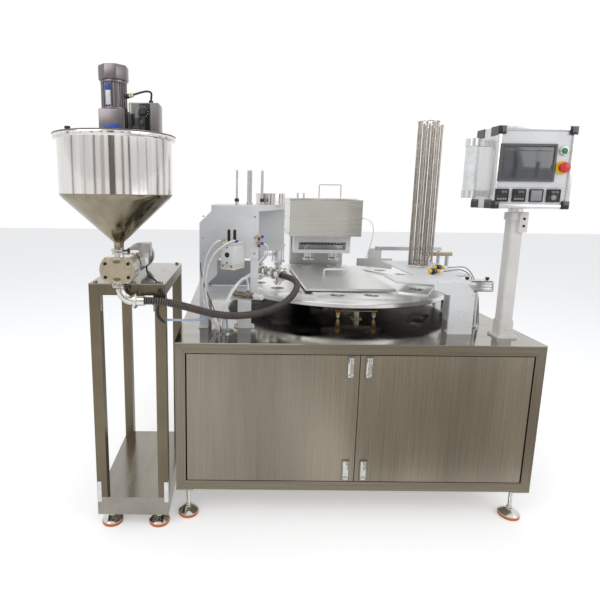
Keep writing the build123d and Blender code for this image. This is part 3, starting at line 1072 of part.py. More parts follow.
# Agitator: shaft with two crossing arms and upright scrapers
with BuildPart(ground) as agitator:
    disc((PUMP_X, PUMP_Y), AGITATOR_SHAFT, (HOPPER_OUTLET + 40, LID_TOP + 20))
    for reach, z, rise in ((140, HOPPER_SEAM + 20, 40), (70, HOPPER_SEAM - 70, 30)):
        bar((PUMP_X - reach, PUMP_Y, z), (PUMP_X + reach, PUMP_Y, z), 6)
        for side in (-1, 1):
            block((PUMP_X + side * reach - 6, PUMP_X + side * reach + 6), (PUMP_Y - 3, PUMP_Y + 3),
                  (z - 8, z + rise))

# Agitator drive: square gearbox, round motor and the eight-sided fan cap
with BuildPart(ground) as agitator_drive:
    half = GEARBOX_SIZE / 2
    block((PUMP_X - half, PUMP_X + half), (PUMP_Y - half, PUMP_Y + half), (LID_TOP, LID_TOP + GEARBOX_HEIGHT))
    fillet(agitator_drive.edges().filter_by(Axis.Z), 5)
    motor_z = LID_TOP + GEARBOX_HEIGHT
    disc((PUMP_X, PUMP_Y), AGITATOR_MOTOR, (motor_z, motor_z + AGITATOR_MOTOR_HEIGHT))
    with BuildSketch(facing(PUMP_X, PUMP_Y, motor_z + AGITATOR_MOTOR_HEIGHT, (0, 0, 1))):
        RegularPolygon(GEARBOX_SIZE / 2 + 5, 8, rotation=22.5)
    extrude(amount=FAN_CAP_HEIGHT)
    disc((PUMP_X, PUMP_Y), AGITATOR_SHAFT + RUNNING_FIT, (LID_TOP, LID_TOP + 21), Mode.SUBTRACT)

# Speed controller box on the lid, with its knob and rocker
BOX_LEFT = PUMP_X + GEARBOX_SIZE / 2 + 2
BOX_FRONT = PUMP_Y - 5
KNOB_Z = LID_TOP + BOX_HEIGHT - 34
SWITCH_Z = KNOB_Z - 36
KNOB_X = BOX_LEFT + BOX_WIDTH / 2 - 4
with BuildPart(ground) as controller_box:
    block((BOX_LEFT, BOX_LEFT + BOX_WIDTH), (BOX_FRONT, BOX_FRONT + BOX_DEPTH), (LID_TOP, LID_TOP + BOX_HEIGHT))
    fillet(controller_box.edges().filter_by(Axis.Y).group_by(Axis.Z)[-1].sort_by(Axis.X)[-1], 20)
    block((KNOB_X - 28, KNOB_X + 28), (BOX_FRONT - 2, BOX_FRONT), (LID_TOP + 8, LID_TOP + BOX_HEIGHT - 8))
    block((KNOB_X - 8.5, KNOB_X + 8.5), (BOX_FRONT - 2, BOX_FRONT + 10), (SWITCH_Z - 11.5, SWITCH_Z + 11.5),
          Mode.SUBTRACT)
    bar((KNOB_X, BOX_FRONT - 2, KNOB_Z), (KNOB_X, BOX_FRONT + 14, KNOB_Z), 3 + RUNNING_FIT, Mode.SUBTRACT)

with BuildPart(ground) as speed_knob:
    bar((KNOB_X, BOX_FRONT - 16, KNOB_Z), (KNOB_X, BOX_FRONT - 2.5, KNOB_Z), KNOB_RADIUS)
    bar((KNOB_X, BOX_FRONT - 2.5, KNOB_Z), (KNOB_X, BOX_FRONT + 12, KNOB_Z), 3)

with BuildPart(ground) as run_switch:
    block((KNOB_X - 8, KNOB_X + 8), (BOX_FRONT - 5, BOX_FRONT + 3), (SWITCH_Z - 10, SWITCH_Z + 10))


# Hoses and tubes: routes of straight runs joined by arcs, each as large as its runs allow
def route_radii(points):
    """Return the arc radius at each inner point: 0.45 of the shorter run over the tangent of half the turn."""
    radii = []
    for a, b, c in zip(points, points[1:], points[2:]):
        first, second = Vector(*b) - Vector(*a), Vector(*c) - Vector(*b)
        half_turn = radians(first.get_angle(second) / 2)
        radii.append(0.45 * min(first.length, second.length) * cos(half_turn) / sin(half_turn))
    return radii


def hose(name, points, radius):
    """Add a round hose along a route and print its radii."""
    places = [ground.from_local_coords(Vector(*p)) for p in points]
    radii = route_radii(points)
    with BuildLine() as route:
        FilletPolyline(*places, radius=radii)
    with BuildSketch(Plane(origin=places[0], z_dir=places[1] - places[0])) as section:
        Circle(radius)
    sweep(section.sketch, path=route.wires()[0])
    length = route.wires()[0].length
    print(name, "length", round(length), "radii", [round(r) for r in radii], "diameter", 2 * radius)


HOSE_START = (PUMP_X + ELBOW_RADIUS + 40, PUMP_Y, ELBOW_DROP)
HOSE_END = fill_station.from_local_coords(Vector(MANIFOLD_REACH, 0, MANIFOLD_Z)) - Vector(*GROUND)
HOSE_APPROACH = HOSE_END + fill_station.x_dir * 75
TABLE = TABLE_HEIGHT
PRODUCT_ROUTE = [HOSE_START, (HOSE_START[0] + 64, PUMP_Y, ELBOW_DROP), (60, -42, TABLE + 151),
                 (150, 30, TABLE + 106), (240, 108, TABLE + 78), (340, 180, TABLE + 72),
                 (440, 243, TABLE + 94), (512, 312, TABLE + 135), (545, 395, TABLE + 165),
                 tuple(HOSE_APPROACH), tuple(HOSE_END)]
with BuildPart() as product_hose:
    hose("product_hose", PRODUCT_ROUTE, HOSE_RADIUS)

GROMMET_TOP = TABLE_HEIGHT + GROMMET_HEIGHT
TUBE_START = fill_station.from_local_coords(Vector(CUP_PITCH / 2, -ACTUATOR_RADIUS - PORT_STUB, TUBE_PORT_Z))
TUBE_START = TUBE_START - Vector(*GROUND)
TUBE_APPROACH = TUBE_START - fill_station.y_dir * 45
UPPER_ROUTE = [tuple(TUBE_START), tuple(TUBE_APPROACH), (355, 505, TABLE + 256), (333, 447, TABLE + 226),
               (308, 385, TABLE + 206), (272, 318, TABLE + 196), (238, 255, TABLE + 180),
               (208, 205, TABLE + 141), (190, 176, TABLE + 88), (185, 170, TABLE + 46),
               (185, 170, GROMMET_TOP)]
with BuildPart() as air_tubes_upper:
    hose("air_tubes_upper", UPPER_ROUTE, AIR_TUBE_RADIUS)

LOWER_ROUTE = [(MINI_PORT[0], MINI_PORT[1], MINI_Z + MINI_RADIUS + PORT_STUB), (*MINI_PORT, TABLE + 212),
               (262, 196, TABLE + 222), (228, 156, TABLE + 182), (192, 134, TABLE + 124),
               (174, 138, TABLE + 64), (166, 146, TABLE + 32), (166, 146, GROMMET_TOP)]
with BuildPart() as air_tubes_lower:
    hose("air_tubes_lower", LOWER_ROUTE, AIR_TUBE_RADIUS - 2)

STAND_ROUTE = [(STAND_RIGHT, STAND_FRONT + TUBE / 2, TABLE + 100),
               (STAND_RIGHT + 38, STAND_FRONT + TUBE / 2, TABLE + 100), (58, -14, TABLE + 93),
               (95, 22, TABLE + 86), (131, 60, TABLE + 82), (168, 99, TABLE + 84), (202, 142, TABLE + 74),
               (202, 142, GROMMET_TOP)]
with BuildPart() as stand_cable:
    hose("stand_cable", STAND_ROUTE, CABLE_RADIUS)

SEAL_START = (HEAD_X[1] + 22, HEAD_Y, SEAL_BOX_BOTTOM + 110)
SEAL_END_X, SEAL_END_Y = SEAL_GROMMET
SEAL_ROUTE = [SEAL_START, (SEAL_START[0] + 32, HEAD_Y, SEAL_START[2]), (1122, HEAD_Y + 12, TABLE + 401),
              (1146, HEAD_Y + 32, TABLE + 361), (1154, HEAD_Y + 58, TABLE + 308),
              (1152, HEAD_Y + 90, TABLE + 254), (1149, SEAL_END_Y - 64, TABLE + 198),
              (1146, SEAL_END_Y - 30, TABLE + 141), (SEAL_END_X, SEAL_END_Y - 8, TABLE + 86),
              (SEAL_END_X, SEAL_END_Y, TABLE + 42), (SEAL_END_X, SEAL_END_Y, GROMMET_TOP)]
with BuildPart() as sealing_tube:
    hose("sealing_tube", SEAL_ROUTE, SEAL_TUBE_RADIUS)

# Each finished piece is named and written to its own file
pieces = {
    "cabinet_frame": cabinet_frame, "cabinet_panels": cabinet_panels, "table_top": table_top,
    "foot_rubbers": foot_rubbers, "levelling_feet": levelling_feet,
    "left_door": left_door, "right_door": right_door,
    "left_latch_lower": left_latch_lower, "left_latch_upper": left_latch_upper,
    "right_latch_lower": right_latch_lower, "right_latch_upper": right_latch_upper,
    "indexer": indexer, "turntable_shaft": turntable_shaft, "turntable_disc": turntable_disc,
    "mould_plates": mould_plates, "centre_cover": centre_cover, "machine_sensors": machine_sensors,
    "filling_frame": filling_frame, "filling_top_cover": filling_top_cover,
    "film_magazine": film_magazine,
    "air_cylinders": air_cylinders, "guided_slide": guided_slide,
    "filling_manifold": filling_manifold, "filling_actuators": filling_actuators,
    "mini_cylinder_rod": mini_cylinder_rod,
    "sealing_column": sealing_column, "sealing_head": sealing_head,
    "heater_frame": heater_frame, "sealing_tools": sealing_tools,
    "lid_column": lid_column, "lid_deck": lid_deck, "lid_magazine_rods": lid_magazine_rods,
    "lid_placer": lid_placer, "profile_cylinder": profile_cylinder, "lid_stop": lid_stop,
    "rear_guides": rear_guides,
    "panel_post": panel_post, "panel_box": panel_box, "panel_corner_caps": panel_corner_caps,
    "panel_face": panel_face, "start_button": start_button,
    "estop_button": estop_button, "stand_frame": stand_frame, "stand_plates": stand_plates,
    "pump_body": pump_body, "pump_cover": pump_cover, "pump_fittings": pump_fittings,
    "hopper_shell": hopper_shell, "hopper_lid": hopper_lid, "hopper_flap": hopper_flap,
    "agitator": agitator, "agitator_drive": agitator_drive, "controller_box": controller_box,
    "speed_knob": speed_knob, "run_switch": run_switch, "product_hose": product_hose,
    "air_tubes_upper": air_tubes_upper, "air_tubes_lower": air_tubes_lower,
    "stand_cable": stand_cable, "sealing_tube": sealing_tube,
}
os.makedirs("parts", exist_ok=True)
for name, piece in pieces.items():
    piece.part.label = name
    export_step(piece.part, f"parts/{name}.step")
print(len(pieces), "pieces")
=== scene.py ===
"""Filling and sealing machine: the dressed model and its plain studio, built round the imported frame."""

from __future__ import annotations

import logging
import math
from dataclasses import dataclass
from enum import Enum

import bpy
from mathutils import Matrix, Vector

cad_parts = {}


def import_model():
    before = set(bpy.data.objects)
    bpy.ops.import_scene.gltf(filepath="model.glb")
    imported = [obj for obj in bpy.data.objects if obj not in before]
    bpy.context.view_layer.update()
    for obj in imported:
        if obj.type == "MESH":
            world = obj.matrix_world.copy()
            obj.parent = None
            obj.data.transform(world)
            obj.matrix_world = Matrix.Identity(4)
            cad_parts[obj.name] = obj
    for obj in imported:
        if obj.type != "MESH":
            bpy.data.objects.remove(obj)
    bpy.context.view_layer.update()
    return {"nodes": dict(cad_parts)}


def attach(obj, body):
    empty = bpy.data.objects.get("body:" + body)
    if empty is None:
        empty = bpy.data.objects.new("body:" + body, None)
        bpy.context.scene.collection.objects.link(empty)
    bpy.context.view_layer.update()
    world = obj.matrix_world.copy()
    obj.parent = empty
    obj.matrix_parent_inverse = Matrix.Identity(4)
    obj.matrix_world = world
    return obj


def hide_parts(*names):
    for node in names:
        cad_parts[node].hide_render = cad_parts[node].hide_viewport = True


log = logging.getLogger("filling_machine")

MM = 0.001
CORNER = Vector((-0.558, -0.6535, 0.0))  # the cabinet's front left corner on the floor
DISC = (800.0, 880.0)
STATION_RADIUS = 455.0
CUP_PITCH = 164.0
FILL_ANGLE = 210.0
LID_ANGLE = -30.0
TABLE_TOP = 764
CORD_END = TABLE_TOP + 6  # inside a grommet
MANIFOLD_LEVEL = 936

Span = tuple[float, float]
Place = tuple[float, float, float]
Tree = bpy.types.NodeTree
Node = bpy.types.Node
Socket = bpy.types.NodeSocket
Material = bpy.types.Material
Piece = bpy.types.Object


class Axis(Enum):
    """Directions that grain, bars and screws can follow."""

    X = (1.0, 0.0, 0.0)
    Y = (0.0, 1.0, 0.0)
    Z = (0.0, 0.0, 1.0)
    FRONT = (0.0, -1.0, 0.0)
    LEFT = (-1.0, 0.0, 0.0)
    DOWN = (0.0, 0.0, -1.0)


def spot(x: float, y: float, z: float) -> Vector:
    """Turn millimetres from the cabinet's corner into metres in the row frame."""
    return CORNER + Vector((x, y, z)) * MM


def station_place(angle: float, along: float, inward: float, z: float) -> Place:
    """Place a point by a cup station.

    Args:
        angle: The station's place round the turntable, in degrees.
        along: Distance along the row of cups, in millimetres.
        inward: Distance towards the turntable's middle, in millimetres.
        z: Height above the floor, in millimetres.

    Returns:
        The place in millimetres from the cabinet's corner.
    """
    c, s = math.cos(math.radians(angle)), math.sin(math.radians(angle))
    x = DISC[0] + STATION_RADIUS * c - along * s - inward * c
    y = DISC[1] + STATION_RADIUS * s + along * c - inward * s
    return (x, y, z)


def ring_place(middle: Span, radius: float, degrees: float) -> Span:
    """Return a place on a circle, in millimetres."""
    turn = math.radians(degrees)
    return (middle[0] + radius * math.cos(turn), middle[1] + radius * math.sin(turn))


def linear(colour: str) -> tuple[float, float, float, float]:
    """Turn an sRGB hex colour into the linear RGBA that a shader takes."""
    values = [int(colour[i:i + 2], 16) / 255 for i in (1, 3, 5)]
    r, g, b = (v / 12.92 if v <= 0.04045 else ((v + 0.055) / 1.055) ** 2.4 for v in values)
    return (r, g, b, 1.0)


def add_node(tree: Tree, kind: str, links: dict | None = None, **settings: object) -> Node:
    """Add a node with its settings and inputs.

    Args:
        tree: The node tree it goes into.
        kind: The node's type name.
        links: For each input, by name or number, the output that feeds it or its value.
        settings: The node's own properties.

    Returns:
        The new node.
    """
    node = tree.nodes.new(kind)
    for key, value in settings.items():
        setattr(node, key, value)
    for key, value in (links or {}).items():
        if isinstance(value, Socket):
            tree.links.new(value, node.inputs[key])
        else:
            node.inputs[key].default_value = value
    return node


def seen_straight(tree: Tree) -> Socket:
    """Return a value that is 1 for camera, glossy and transmission rays, and 0 for all others."""
    rays = add_node(tree, "ShaderNodeLightPath")
    seen = add_node(tree, "ShaderNodeMath", {0: rays.outputs["Is Camera Ray"],
                                             1: rays.outputs["Is Glossy Ray"]}, operation="MAXIMUM")
    return add_node(tree, "ShaderNodeMath", {0: seen.outputs[0],
                                             1: rays.outputs["Is Transmission Ray"]},
                    operation="MAXIMUM").outputs[0]


@dataclass(frozen=True)
class Finish:
    """A surface as it is made: its colour, gloss and the pattern that the making leaves."""

    name: str
    colour: str
    roughness: float
    metallic: float = 0.0
    coat: float = 0.0
    slot: str = "white_paint"

    def material(self) -> Material:
        """Return the finish's material, made at its first use."""
        found = bpy.data.materials.get(self.name)
        if found:
            return found
        made = bpy.data.materials.new(self.name)
        made.use_nodes = True
        tree = made.node_tree
        tree.nodes.clear()
        out = add_node(tree, "ShaderNodeOutputMaterial")
        shader = add_node(tree, "ShaderNodeBsdfPrincipled", {
            "Base Color": linear(self.colour), "Roughness": self.roughness,
            "Metallic": self.metallic, "Coat Weight": self.coat})
        tree.links.new(shader.outputs[0], out.inputs[0])
        coords = add_node(tree, "ShaderNodeTexCoord").outputs["Object"]
        self.pattern(tree, shader, coords)
        return made

    def noise(self, tree: Tree, coords: Socket, spacing_mm: Place, detail: float = 3.0) -> Socket:
        """Add a noise whose grains have the given size along each axis, and return its value."""
        scale = tuple(1000.0 / s for s in spacing_mm)
        mapped = add_node(tree, "ShaderNodeMapping", {"Vector": coords, "Scale": scale})
        noise = add_node(tree, "ShaderNodeTexNoise",
                         {"Vector": mapped.outputs[0], "Scale": 1.0, "Detail": detail})
        return noise.outputs[0]

    def spread(self, tree: Tree, value: Socket, low: float,
               high: float, start: float = 0.3, end: float = 0.7) -> Socket:
        """Spread a noise value over a range and return it."""
        return add_node(tree, "ShaderNodeMapRange",
                        {"Value": value, "From Min": start, "From Max": end, "To Min": low,
                         "To Max": high}).outputs[0]

    def tint(self, tree: Tree, shader: Node, value: Socket, dark: float, light: float) -> None:
        """Vary the base colour between a darker and a lighter tone of itself."""
        base = linear(self.colour)
        mix = add_node(tree, "ShaderNodeMix", {"Factor": value}, data_type="RGBA")
        mix.inputs[6].default_value = (*(c * dark for c in base[:3]), 1.0)
        mix.inputs[7].default_value = (*(min(1.0, c * light) for c in base[:3]), 1.0)
        tree.links.new(mix.outputs[2], shader.inputs["Base Color"])

    def vary_gloss(self, tree: Tree, shader: Node, value: Socket, low: float, high: float) -> None:
        """Vary the roughness between two shares of itself."""
        rough = self.spread(tree, value, self.roughness * low, min(1.0, self.roughness * high))
        tree.links.new(rough, shader.inputs["Roughness"])

    def raise_bump(self, tree: Tree, shader: Node, value: Socket, depth_mm: float, strength: float) -> None:
        """Raise the surface by a pattern."""
        bump = add_node(tree, "ShaderNodeBump",
                        {"Height": value, "Strength": strength, "Distance": depth_mm * MM})
        tree.links.new(bump.outputs[0], shader.inputs["Normal"])

    def pattern(self, tree: Tree, shader: Node, coords: Socket) -> None:
        """Give the surface the fine mottle of a handled part."""
        value = self.noise(tree, coords, (14, 14, 14))
        self.tint(tree, shader, self.spread(tree, value, 0.0, 1.0), 0.9, 1.06)
        self.vary_gloss(tree, shader, value, 0.85, 1.2)


@dataclass(frozen=True)
class BrushedSteel(Finish):
    """Stainless sheet drawn through a belt: long fine lines that spread each highlight."""

    slot: str = "brushed_steel"
    along: Axis = Axis.Z
    metallic: float = 1.0
    low: float = 0.84
    high: float = 1.12
    cloud_mm: Place = (260.0, 260.0, 260.0)

    def grain(self, tree: Tree, coords: Socket, along: Axis) -> Socket:
        """Return the value of lines that run along one axis."""
        # The real lines are 0.1 mm apart: drawn 3 mm apart, so that they show from across a room
        spacing = tuple(420.0 if a else 3.0 for a in along.value)
        return self.noise(tree, coords, spacing, 5.0)

    def pattern(self, tree: Tree, shader: Node, coords: Socket) -> None:
        """Draw the belt's lines, and broad clouds that are the slow unevenness of a large sheet and, on the
        doors, painted soft highlights.
        """
        lines = self.grain(tree, coords, self.along)
        # The clouds vary the tone at random, and on the doors they are drawn tall and wide as painted soft
        # highlights
        clouds = self.noise(tree, coords, self.cloud_mm, 2.0)
        both = add_node(tree, "ShaderNodeMath", {0: self.spread(tree, lines, 0.0, 0.4),
                                                 1: self.spread(tree, clouds, 0.0, 0.6, 0.36, 0.64)},
                        operation="ADD")
        value = both.outputs[0]
        self.tint(tree, shader, value, self.low, self.high)
        self.vary_gloss(tree, shader, lines, 0.85, 1.2)
        self.raise_bump(tree, shader, lines, 0.05, 0.25)


@dataclass(frozen=True)
class FrameSteel(BrushedSteel):
    """Square tube brushed along its length and mitred at the corners of a portal."""

    middle: Place = (0.0, 0.0, 0.0)
    half_width: float = 0.725
    half_height: float = 0.3115

    def pattern(self, tree: Tree, shader: Node, coords: Socket) -> None:
        """Draw the lines along each tube, and a thin dark weld line on each mitre."""
        parts = add_node(tree, "ShaderNodeSeparateXYZ", {0: coords})
        edges = []
        for output, centre, half in ((0, self.middle[0], self.half_width),
                                     (2, self.middle[2], self.half_height)):
            shift = add_node(tree, "ShaderNodeMath", {0: parts.outputs[output], 1: centre},
                             operation="SUBTRACT")
            away = add_node(tree, "ShaderNodeMath", {0: shift.outputs[0]}, operation="ABSOLUTE")
            edges.append(add_node(tree, "ShaderNodeMath", {0: half, 1: away.outputs[0]},
                                  operation="SUBTRACT").outputs[0])
        upright = add_node(tree, "ShaderNodeMath", {0: edges[0], 1: edges[1]},
                           operation="LESS_THAN").outputs[0]
        lines = add_node(tree, "ShaderNodeMix", {
            "Factor": upright, 2: self.grain(tree, coords, Axis.X),
            3: self.grain(tree, coords, Axis.Z)})
        value = self.spread(tree, lines.outputs[0], 0.0, 1.0)
        apart = add_node(tree, "ShaderNodeMath", {0: edges[0], 1: edges[1]}, operation="SUBTRACT")
        away = add_node(tree, "ShaderNodeMath", {0: apart.outputs[0]}, operation="ABSOLUTE")
        seam = add_node(tree, "ShaderNodeMath", {0: away.outputs[0], 1: 0.0016},
                        operation="GREATER_THAN")
        darkened = add_node(tree, "ShaderNodeMath", {0: value, 1: seam.outputs[0]},
                            operation="MULTIPLY")
        self.tint(tree, shader, darkened.outputs[0], 0.72, 1.14)
        self.raise_bump(tree, shader, lines.outputs[0], 0.05, 0.25)


@dataclass(frozen=True)
class PolishedSteel(Finish):
    """Mirror-polished stainless: sharp reflections, faint smears and a slight wave."""

    slot: str = "polished_steel"
    metallic: float = 1.0
    streak_mm: Place = (60.0, 60.0, 90.0)
    dark: float = 0.86

    def pattern(self, tree: Tree, shader: Node, coords: Socket) -> None:
        """Draw the streaks that wiping leaves, drawn tall and thin on the hopper's wall as painted
        reflection streaks, and the wave of rolled sheet.
        """
        streaks = self.noise(tree, coords, self.streak_mm, 4.0)
        self.tint(tree, shader, self.spread(tree, streaks, 0.0, 1.0), self.dark, 1.06)
        self.vary_gloss(tree, shader, streaks, 0.6, 1.7)
        wave = self.noise(tree, coords, (160.0, 160.0, 160.0), 1.0)
        self.raise_bump(tree, shader, wave, 1.2, 0.12)


@dataclass(frozen=True)
class TurntablePlate(PolishedSteel):
    """Satin plate, bright on top, with painted shade on every face that looks down."""

    # The under colour is painted shade, given to every face that looks down
    under: str = "#1D1916"

    def pattern(self, tree: Tree, shader: Node, coords: Socket) -> None:
        """Draw the streaks, and paint shade on every face that looks down."""
        streaks = self.noise(tree, coords, self.streak_mm, 4.0)
        base, under = linear(self.colour), linear(self.under)
        normal = add_node(tree, "ShaderNodeTexCoord").outputs["Normal"]
        height = add_node(tree, "ShaderNodeSeparateXYZ", {0: normal}).outputs[2]
        down = add_node(tree, "ShaderNodeMath", {0: height, 1: -0.5}, operation="LESS_THAN").outputs[0]
        top = add_node(tree, "ShaderNodeMix", {"Factor": self.spread(tree, streaks, 0.0, 1.0)},
                       data_type="RGBA")
        top.inputs[6].default_value = (*(c * self.dark for c in base[:3]), 1.0)
        top.inputs[7].default_value = base
        both = add_node(tree, "ShaderNodeMix", {"Factor": down, 6: top.outputs[2]}, data_type="RGBA")
        both.inputs[7].default_value = under
        tree.links.new(both.outputs[2], shader.inputs["Base Color"])
        self.vary_gloss(tree, shader, streaks, 0.8, 1.3)


@dataclass(frozen=True)
class PowderCoat(Finish):
    """Baked powder paint: an even pale coat with the slight peel of its grains."""

    slot: str = "white_paint"

    def pattern(self, tree: Tree, shader: Node, coords: Socket) -> None:
        """Draw the peel and a faint soiling."""
        # The real peel is 0.8 mm across: drawn 2.5 mm across, so that it shows
        peel = self.noise(tree, coords, (2.5, 2.5, 2.5), 2.0)
        soil = self.noise(tree, coords, (90, 90, 60), 3.0)
        self.tint(tree, shader, self.spread(tree, soil, 0.0, 1.0, 0.25, 0.6), 0.93, 1.03)
        self.raise_bump(tree, shader, peel, 0.08, 0.3)


@dataclass(frozen=True)
class Anodised(Finish):
    """Extruded aluminium, anodised: die lines along the bar under a satin skin."""

    slot: str = "aluminium"
    along: Axis = Axis.Z
    metallic: float = 1.0

    def pattern(self, tree: Tree, shader: Node, coords: Socket) -> None:
        """Draw the die lines."""
        spacing = tuple(300.0 if a else 2.4 for a in self.along.value)
        lines = self.noise(tree, coords, spacing, 3.0)
        self.tint(tree, shader, self.spread(tree, lines, 0.0, 1.0), 0.9, 1.08)
        self.raise_bump(tree, shader, lines, 0.04, 0.2)


@dataclass(frozen=True)
class Moulded(Finish):
    """Moulded plastic or rubber: an even colour with the tool's fine spark grain."""

    slot: str = "black_plastic"
    grain_mm: float = 1.6

    def pattern(self, tree: Tree, shader: Node, coords: Socket) -> None:
        """Draw the spark grain and the dulling of touched places."""
        grain = self.noise(tree, coords, (self.grain_mm,) * 3, 2.0)
        touched = self.noise(tree, coords, (35, 35, 35), 2.0)
        self.tint(tree, shader, self.spread(tree, touched, 0.0, 1.0), 0.88, 1.1)
        self.vary_gloss(tree, shader, touched, 0.8, 1.25)
        self.raise_bump(tree, shader, grain, 0.06, 0.3)


@dataclass(frozen=True)
class RibbedRubber(Moulded):
    """Extruded hose rubber: painted highlights on the crests, and painted shade in the valleys."""

    def pattern(self, tree: Tree, shader: Node, coords: Socket) -> None:
        """Paint shade into the valleys and highlights onto the crests that the mesh's own rib attribute
        marks.
        """
        rib = add_node(tree, "ShaderNodeAttribute", attribute_name="rib").outputs["Fac"]
        worn = self.noise(tree, coords, (30, 30, 30), 2.0)
        shade = add_node(tree, "ShaderNodeMath", {0: rib, 1: self.spread(tree, worn, 0.75, 1.0)},
                         operation="MULTIPLY")
        # Valleys go to 0.06 of the colour as painted shade and crests to 1.7 of it as painted highlight,
        # with random wear on top
        self.tint(tree, shader, shade.outputs[0], 0.06, 1.7)
        self.vary_gloss(tree, shader, worn, 0.8, 1.25)


FRAME_MIDDLE = tuple(spot(725, 0, 449.5))
SHEET = BrushedSteel("brushed_stainless_sheet", "#968F80", 0.34)
# The doors' tall clouds, with their wide spread of tone, are painted soft vertical highlights
DOOR_SHEET = BrushedSteel("brushed_door_sheet", "#8D8577", 0.28, low=0.68, high=1.22,
                          cloud_mm=(330.0, 330.0, 1400.0))
FRAME_TUBE = FrameSteel("mitred_brushed_tube", "#827A6C", 0.32, middle=FRAME_MIDDLE)
STAND_TUBE = BrushedSteel("brushed_stand_tube", "#706756", 0.30)
TABLE_MIRROR = PolishedSteel("polished_table_sheet", "#A7A29B", 0.09, streak_mm=(140, 70, 70))
STAND_SHEET = PolishedSteel("polished_shelf_sheet", "#98938A", 0.16, streak_mm=(50, 200, 50))
# The hopper wall's tall, thin streaks of lighter and darker tone are painted reflection streaks
HOPPER_MIRROR = PolishedSteel("spun_polished_hopper", "#E2DFDC", 0.10, streak_mm=(12, 12, 360), dark=0.86)
BRIGHT_STEEL = PolishedSteel("bright_turned_steel", "#D6D4D0", 0.14)
DISC_MIRROR = TurntablePlate("satin_turntable_plate", "#E9E9E7", 0.32, streak_mm=(120, 120, 120), dark=0.94)
COVER_SHEET = BrushedSteel("brushed_cover_sheet", "#DADAD8", 0.32, along=Axis.Y, low=0.93, high=1.06)
HEAD_SHEET = BrushedSteel("brushed_head_sheet", "#CBCAC4", 0.24, along=Axis.X, low=0.94, high=1.05)
BACK_SHEET = BrushedSteel("brushed_back_sheet", "#C2C3C3", 0.36, along=Axis.X, low=0.92, high=1.06)
DARK_STEEL = Finish("oiled_cast_iron", "#2B2A29", 0.42, metallic=0.6, slot="cast_housing")
WHITE_COAT = PowderCoat("pale_grey_powder_coat", "#DEDFE0", 0.42)
POST_COAT = PowderCoat("warm_white_powder_coat", "#D9D6D1", 0.36, coat=0.2)
CREAM_COAT = PowderCoat("cream_powder_coat", "#DDD8C6", 0.45)
PUMP_COAT = Finish("bead_blasted_pump_casting", "#B3A793", 0.34, metallic=0.85, slot="cast_housing")
CASE_PROFILE = Anodised("anodised_case_profile", "#D8D8D8", 0.30)
LEVEL_PROFILE = Anodised("anodised_level_profile", "#CFCFCF", 0.30, along=Axis.X)
FACE_COAT = PowderCoat("pale_face_lacquer", "#D9DADB", 0.35)
MOTOR_ALLOY = Anodised("brown_grey_motor_alloy", "#787274", 0.32, slot="motor_alloy")
BOX_ALLOY = Anodised("grey_box_alloy", "#8E8A88", 0.34, slot="motor_alloy")
BLACK_PLASTIC = Moulded("black_moulded_nylon", "#17171A", 0.38)
BLACK_GLOSS = Moulded("black_glossy_polycarbonate", "#0C0C0E", 0.16, coat=0.5)
GREY_PLASTIC = Moulded("grey_moulded_cover", "#8F9094", 0.42)
WHITE_PLASTIC = Moulded("white_moulded_nylon", "#E8E9EA", 0.38, slot="white_paint")
YELLOW_PLASTIC = Moulded("yellow_moulded_cap", "#F9C20E", 0.34, slot="sensor_yellow")
AMBER_PLASTIC = Moulded("amber_moulded_ring", "#F2AC1C", 0.34, slot="sensor_yellow")
BLUE_PLASTIC = Moulded("blue_release_ring", "#1E46B4", 0.34)
GREEN_PLASTIC = Moulded("green_moulded_cap", "#0E7A48", 0.30, coat=0.3, slot="green_plastic")
RED_PLASTIC = Moulded("red_moulded_mushroom", "#D3201F", 0.30, coat=0.3, slot="red_plastic")
FOOT_RUBBER = Moulded("terracotta_moulded_rubber", "#CF7D4C", 0.55, slot="orange_rubber")
HOSE_RUBBER = RibbedRubber("black_ribbed_hose", "#4A423D", 0.32, slot="black_hose")
PALE_TUBE = Moulded("milky_polyurethane_tube", "#F7F9FA", 0.28, coat=0.4, slot="white_tube")
BLUE_TUBE = Moulded("pale_blue_spiral_wrap", "#A9C0D6", 0.34, slot="black_hose")
CLEAR_TUBE = Moulded("frosted_tube_grip", "#E9EBEB", 0.20, coat=0.4, slot="white_tube")
BRASS = PolishedSteel("turned_brass", "#C9A86A", 0.22, slot="brass")
SCREEN_GLASS = Moulded("grey_screen_glass", "#45474B", 0.12, coat=0.6)
PLATE_OLIVE = Moulded("olive_anodised_plate", "#6C6526", 0.36, slot="white_paint")
LABEL_BLUE = Moulded("bare_blue_plate", "#2C46A0", 0.36, slot="white_paint")
LABEL_WHITE = Moulded("bare_white_plate", "#DADDE4", 0.40, slot="white_paint")
LATCH_CHROME = PolishedSteel("chromed_latch_casting", "#C9C8C6", 0.12, streak_mm=(9, 9, 30))
LINER_STEEL = PolishedSteel("pressed_cup_liner", "#C8C7C4", 0.22, streak_mm=(18, 18, 18))
OLD_STEEL = BrushedSteel("turned_cylinder_steel", "#A1937F", 0.24, along=Axis.X)
GREY_LEAD = Moulded("grey_cable_jacket", "#8B8D92", 0.44)
PUMP_ALLOY = Anodised("pale_pump_alloy", "#B5B3B0", 0.30, slot="motor_alloy")
CONE_MIRROR = PolishedSteel("spun_polished_cone", "#938A76", 0.12, streak_mm=(40, 40, 200), dark=0.78)
ROD_STEEL = PolishedSteel("ground_magazine_rod", "#B0A89F", 0.20, streak_mm=(9, 9, 40), dark=0.62)
SLEEVE_GREY = Moulded("pale_rod_sleeve", "#C9C5C0", 0.30, coat=0.3)
